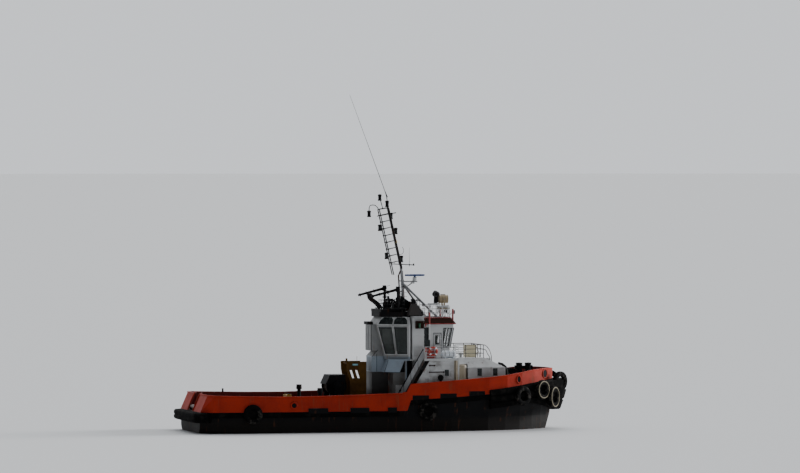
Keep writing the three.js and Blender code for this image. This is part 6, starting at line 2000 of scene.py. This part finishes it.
class TUG_OT_stage(bpy.types.Operator):
    """Sets the camera, the floor at the waterline and the light"""

    bl_idname = "tug.stage"
    bl_label = "Stage"

    def execute(self, context):
        size = context.scene.tug_size
        self.camera(context.scene, size)
        self.floor(context.scene, size.floor_reach)
        self.light(context.scene)
        return {"FINISHED"}

    def camera(self, scene, size):
        """A very long lens, aft of the starboard beam by its heading, and looking down by its drop"""
        heading, drop, shift = math.radians(14), math.radians(0.756), 1.96
        ahead = Vector((math.sin(heading), math.cos(heading), 0))
        right = Vector((math.cos(heading), -math.sin(heading), 0))
        data = bpy.data.cameras.new("Camera")
        data.lens = 243.8
        data.sensor_width = 36.0
        data.clip_start = 1.0
        data.clip_end = 20000.0
        view = bpy.data.objects.new("Camera", data)
        scene.collection.objects.link(view)
        view.location = right * shift - ahead * size.camera_distance + UP * size.camera_height
        look = ahead * math.cos(drop) - UP * math.sin(drop)
        view.rotation_mode = "QUATERNION"
        view.rotation_quaternion = look.to_track_quat("-Z", "Y")
        scene.camera = view

    def floor(self, scene, reach):
        mesh = bpy.data.meshes.new("Floor")
        mesh.from_pydata(at_height(square(0, 0, reach, reach), 0), [], [(0, 1, 2, 3)])
        floor = bpy.data.objects.new("Floor", mesh)
        scene.collection.objects.link(floor)
        material = bpy.data.materials.new("floor")
        material.use_nodes = True
        shader = material.node_tree.nodes["Principled BSDF"]
        shader.inputs["Base Color"].default_value = (0.62, 0.63, 0.64, 1)
        shader.inputs["Roughness"].default_value = 0.9
        mesh.materials.append(material)

    def light(self, scene):
        """A pale sky, brighter on the port side and forward, with two suns"""
        world = bpy.data.worlds.new("Studio")
        world.use_nodes = True
        nodes, links = world.node_tree.nodes, world.node_tree.links
        back = nodes["Background"]
        back.inputs["Color"].default_value = (0.88, 0.91, 0.95, 1)
        place = nodes.new("ShaderNodeTexCoord")
        away = nodes.new("ShaderNodeVectorMath")
        away.operation = "DOT_PRODUCT"
        away.inputs[1].default_value = (0.6, 0.8, 0)
        ramp = nodes.new("ShaderNodeMapRange")
        ramp.interpolation_type = "SMOOTHSTEP"
        for name, value in (("From Min", -0.6), ("From Max", 0.6), ("To Min", 0.22), ("To Max", 1.0)):
            ramp.inputs[name].default_value = value
        links.new(place.outputs["Generated"], away.inputs[0])
        links.new(away.outputs["Value"], ramp.inputs["Value"])
        links.new(ramp.outputs[0], back.inputs["Strength"])
        scene.world = world
        for name, direction, strength, spread in (
            ("Key", (0.9, 0.09, 0.28), 3.0, 18),
            ("Fill", (0.2, 0.7, 0.7), 1.4, 50),
        ):
            data = bpy.data.lights.new(name, "SUN")
            data.energy = strength
            data.angle = math.radians(spread)
            lamp = bpy.data.objects.new(name, data)
            scene.collection.objects.link(lamp)
            lamp.rotation_mode = "QUATERNION"
            lamp.rotation_quaternion = Vector(direction).to_track_quat("Z", "Y")


OPERATORS = [
    TUG_OT_paint, TUG_OT_fenders, TUG_OT_bulwarks, TUG_OT_wheelhouse, TUG_OT_deckhouse, TUG_OT_funnels,
    TUG_OT_masts, TUG_OT_roof_gear, TUG_OT_rails, TUG_OT_deck_gear, TUG_OT_safety_gear,
    TUG_OT_underwater, TUG_OT_stage,
]


class TUG_PT_panel(bpy.types.Panel):
    """Lists the boat's steps, colours and sizes"""

    bl_idname = "TUG_PT_panel"
    bl_label = "Tug"
    bl_space_type = "VIEW_3D"
    bl_region_type = "UI"
    bl_category = "Tug"

    def draw(self, context):
        for step in OPERATORS:
            self.layout.operator(step.bl_idname)
        for group in (context.scene.tug_look, context.scene.tug_size):
            for name in group.__annotations__:
                self.layout.prop(group, name)


def register():
    for made in (TugLook, TugSize, *OPERATORS, TUG_PT_panel):
        bpy.utils.register_class(made)
    bpy.types.Scene.tug_look = bpy.props.PointerProperty(type=TugLook)
    bpy.types.Scene.tug_size = bpy.props.PointerProperty(type=TugSize)


def unregister():
    del bpy.types.Scene.tug_size
    del bpy.types.Scene.tug_look
    for made in (TUG_PT_panel, *reversed(OPERATORS), TugSize, TugLook):
        bpy.utils.unregister_class(made)


def main():
    register()
    for step in OPERATORS:
        group, name = step.bl_idname.split(".")
        getattr(getattr(bpy.ops, group), name)()


if __name__ == "__main__":
    main()
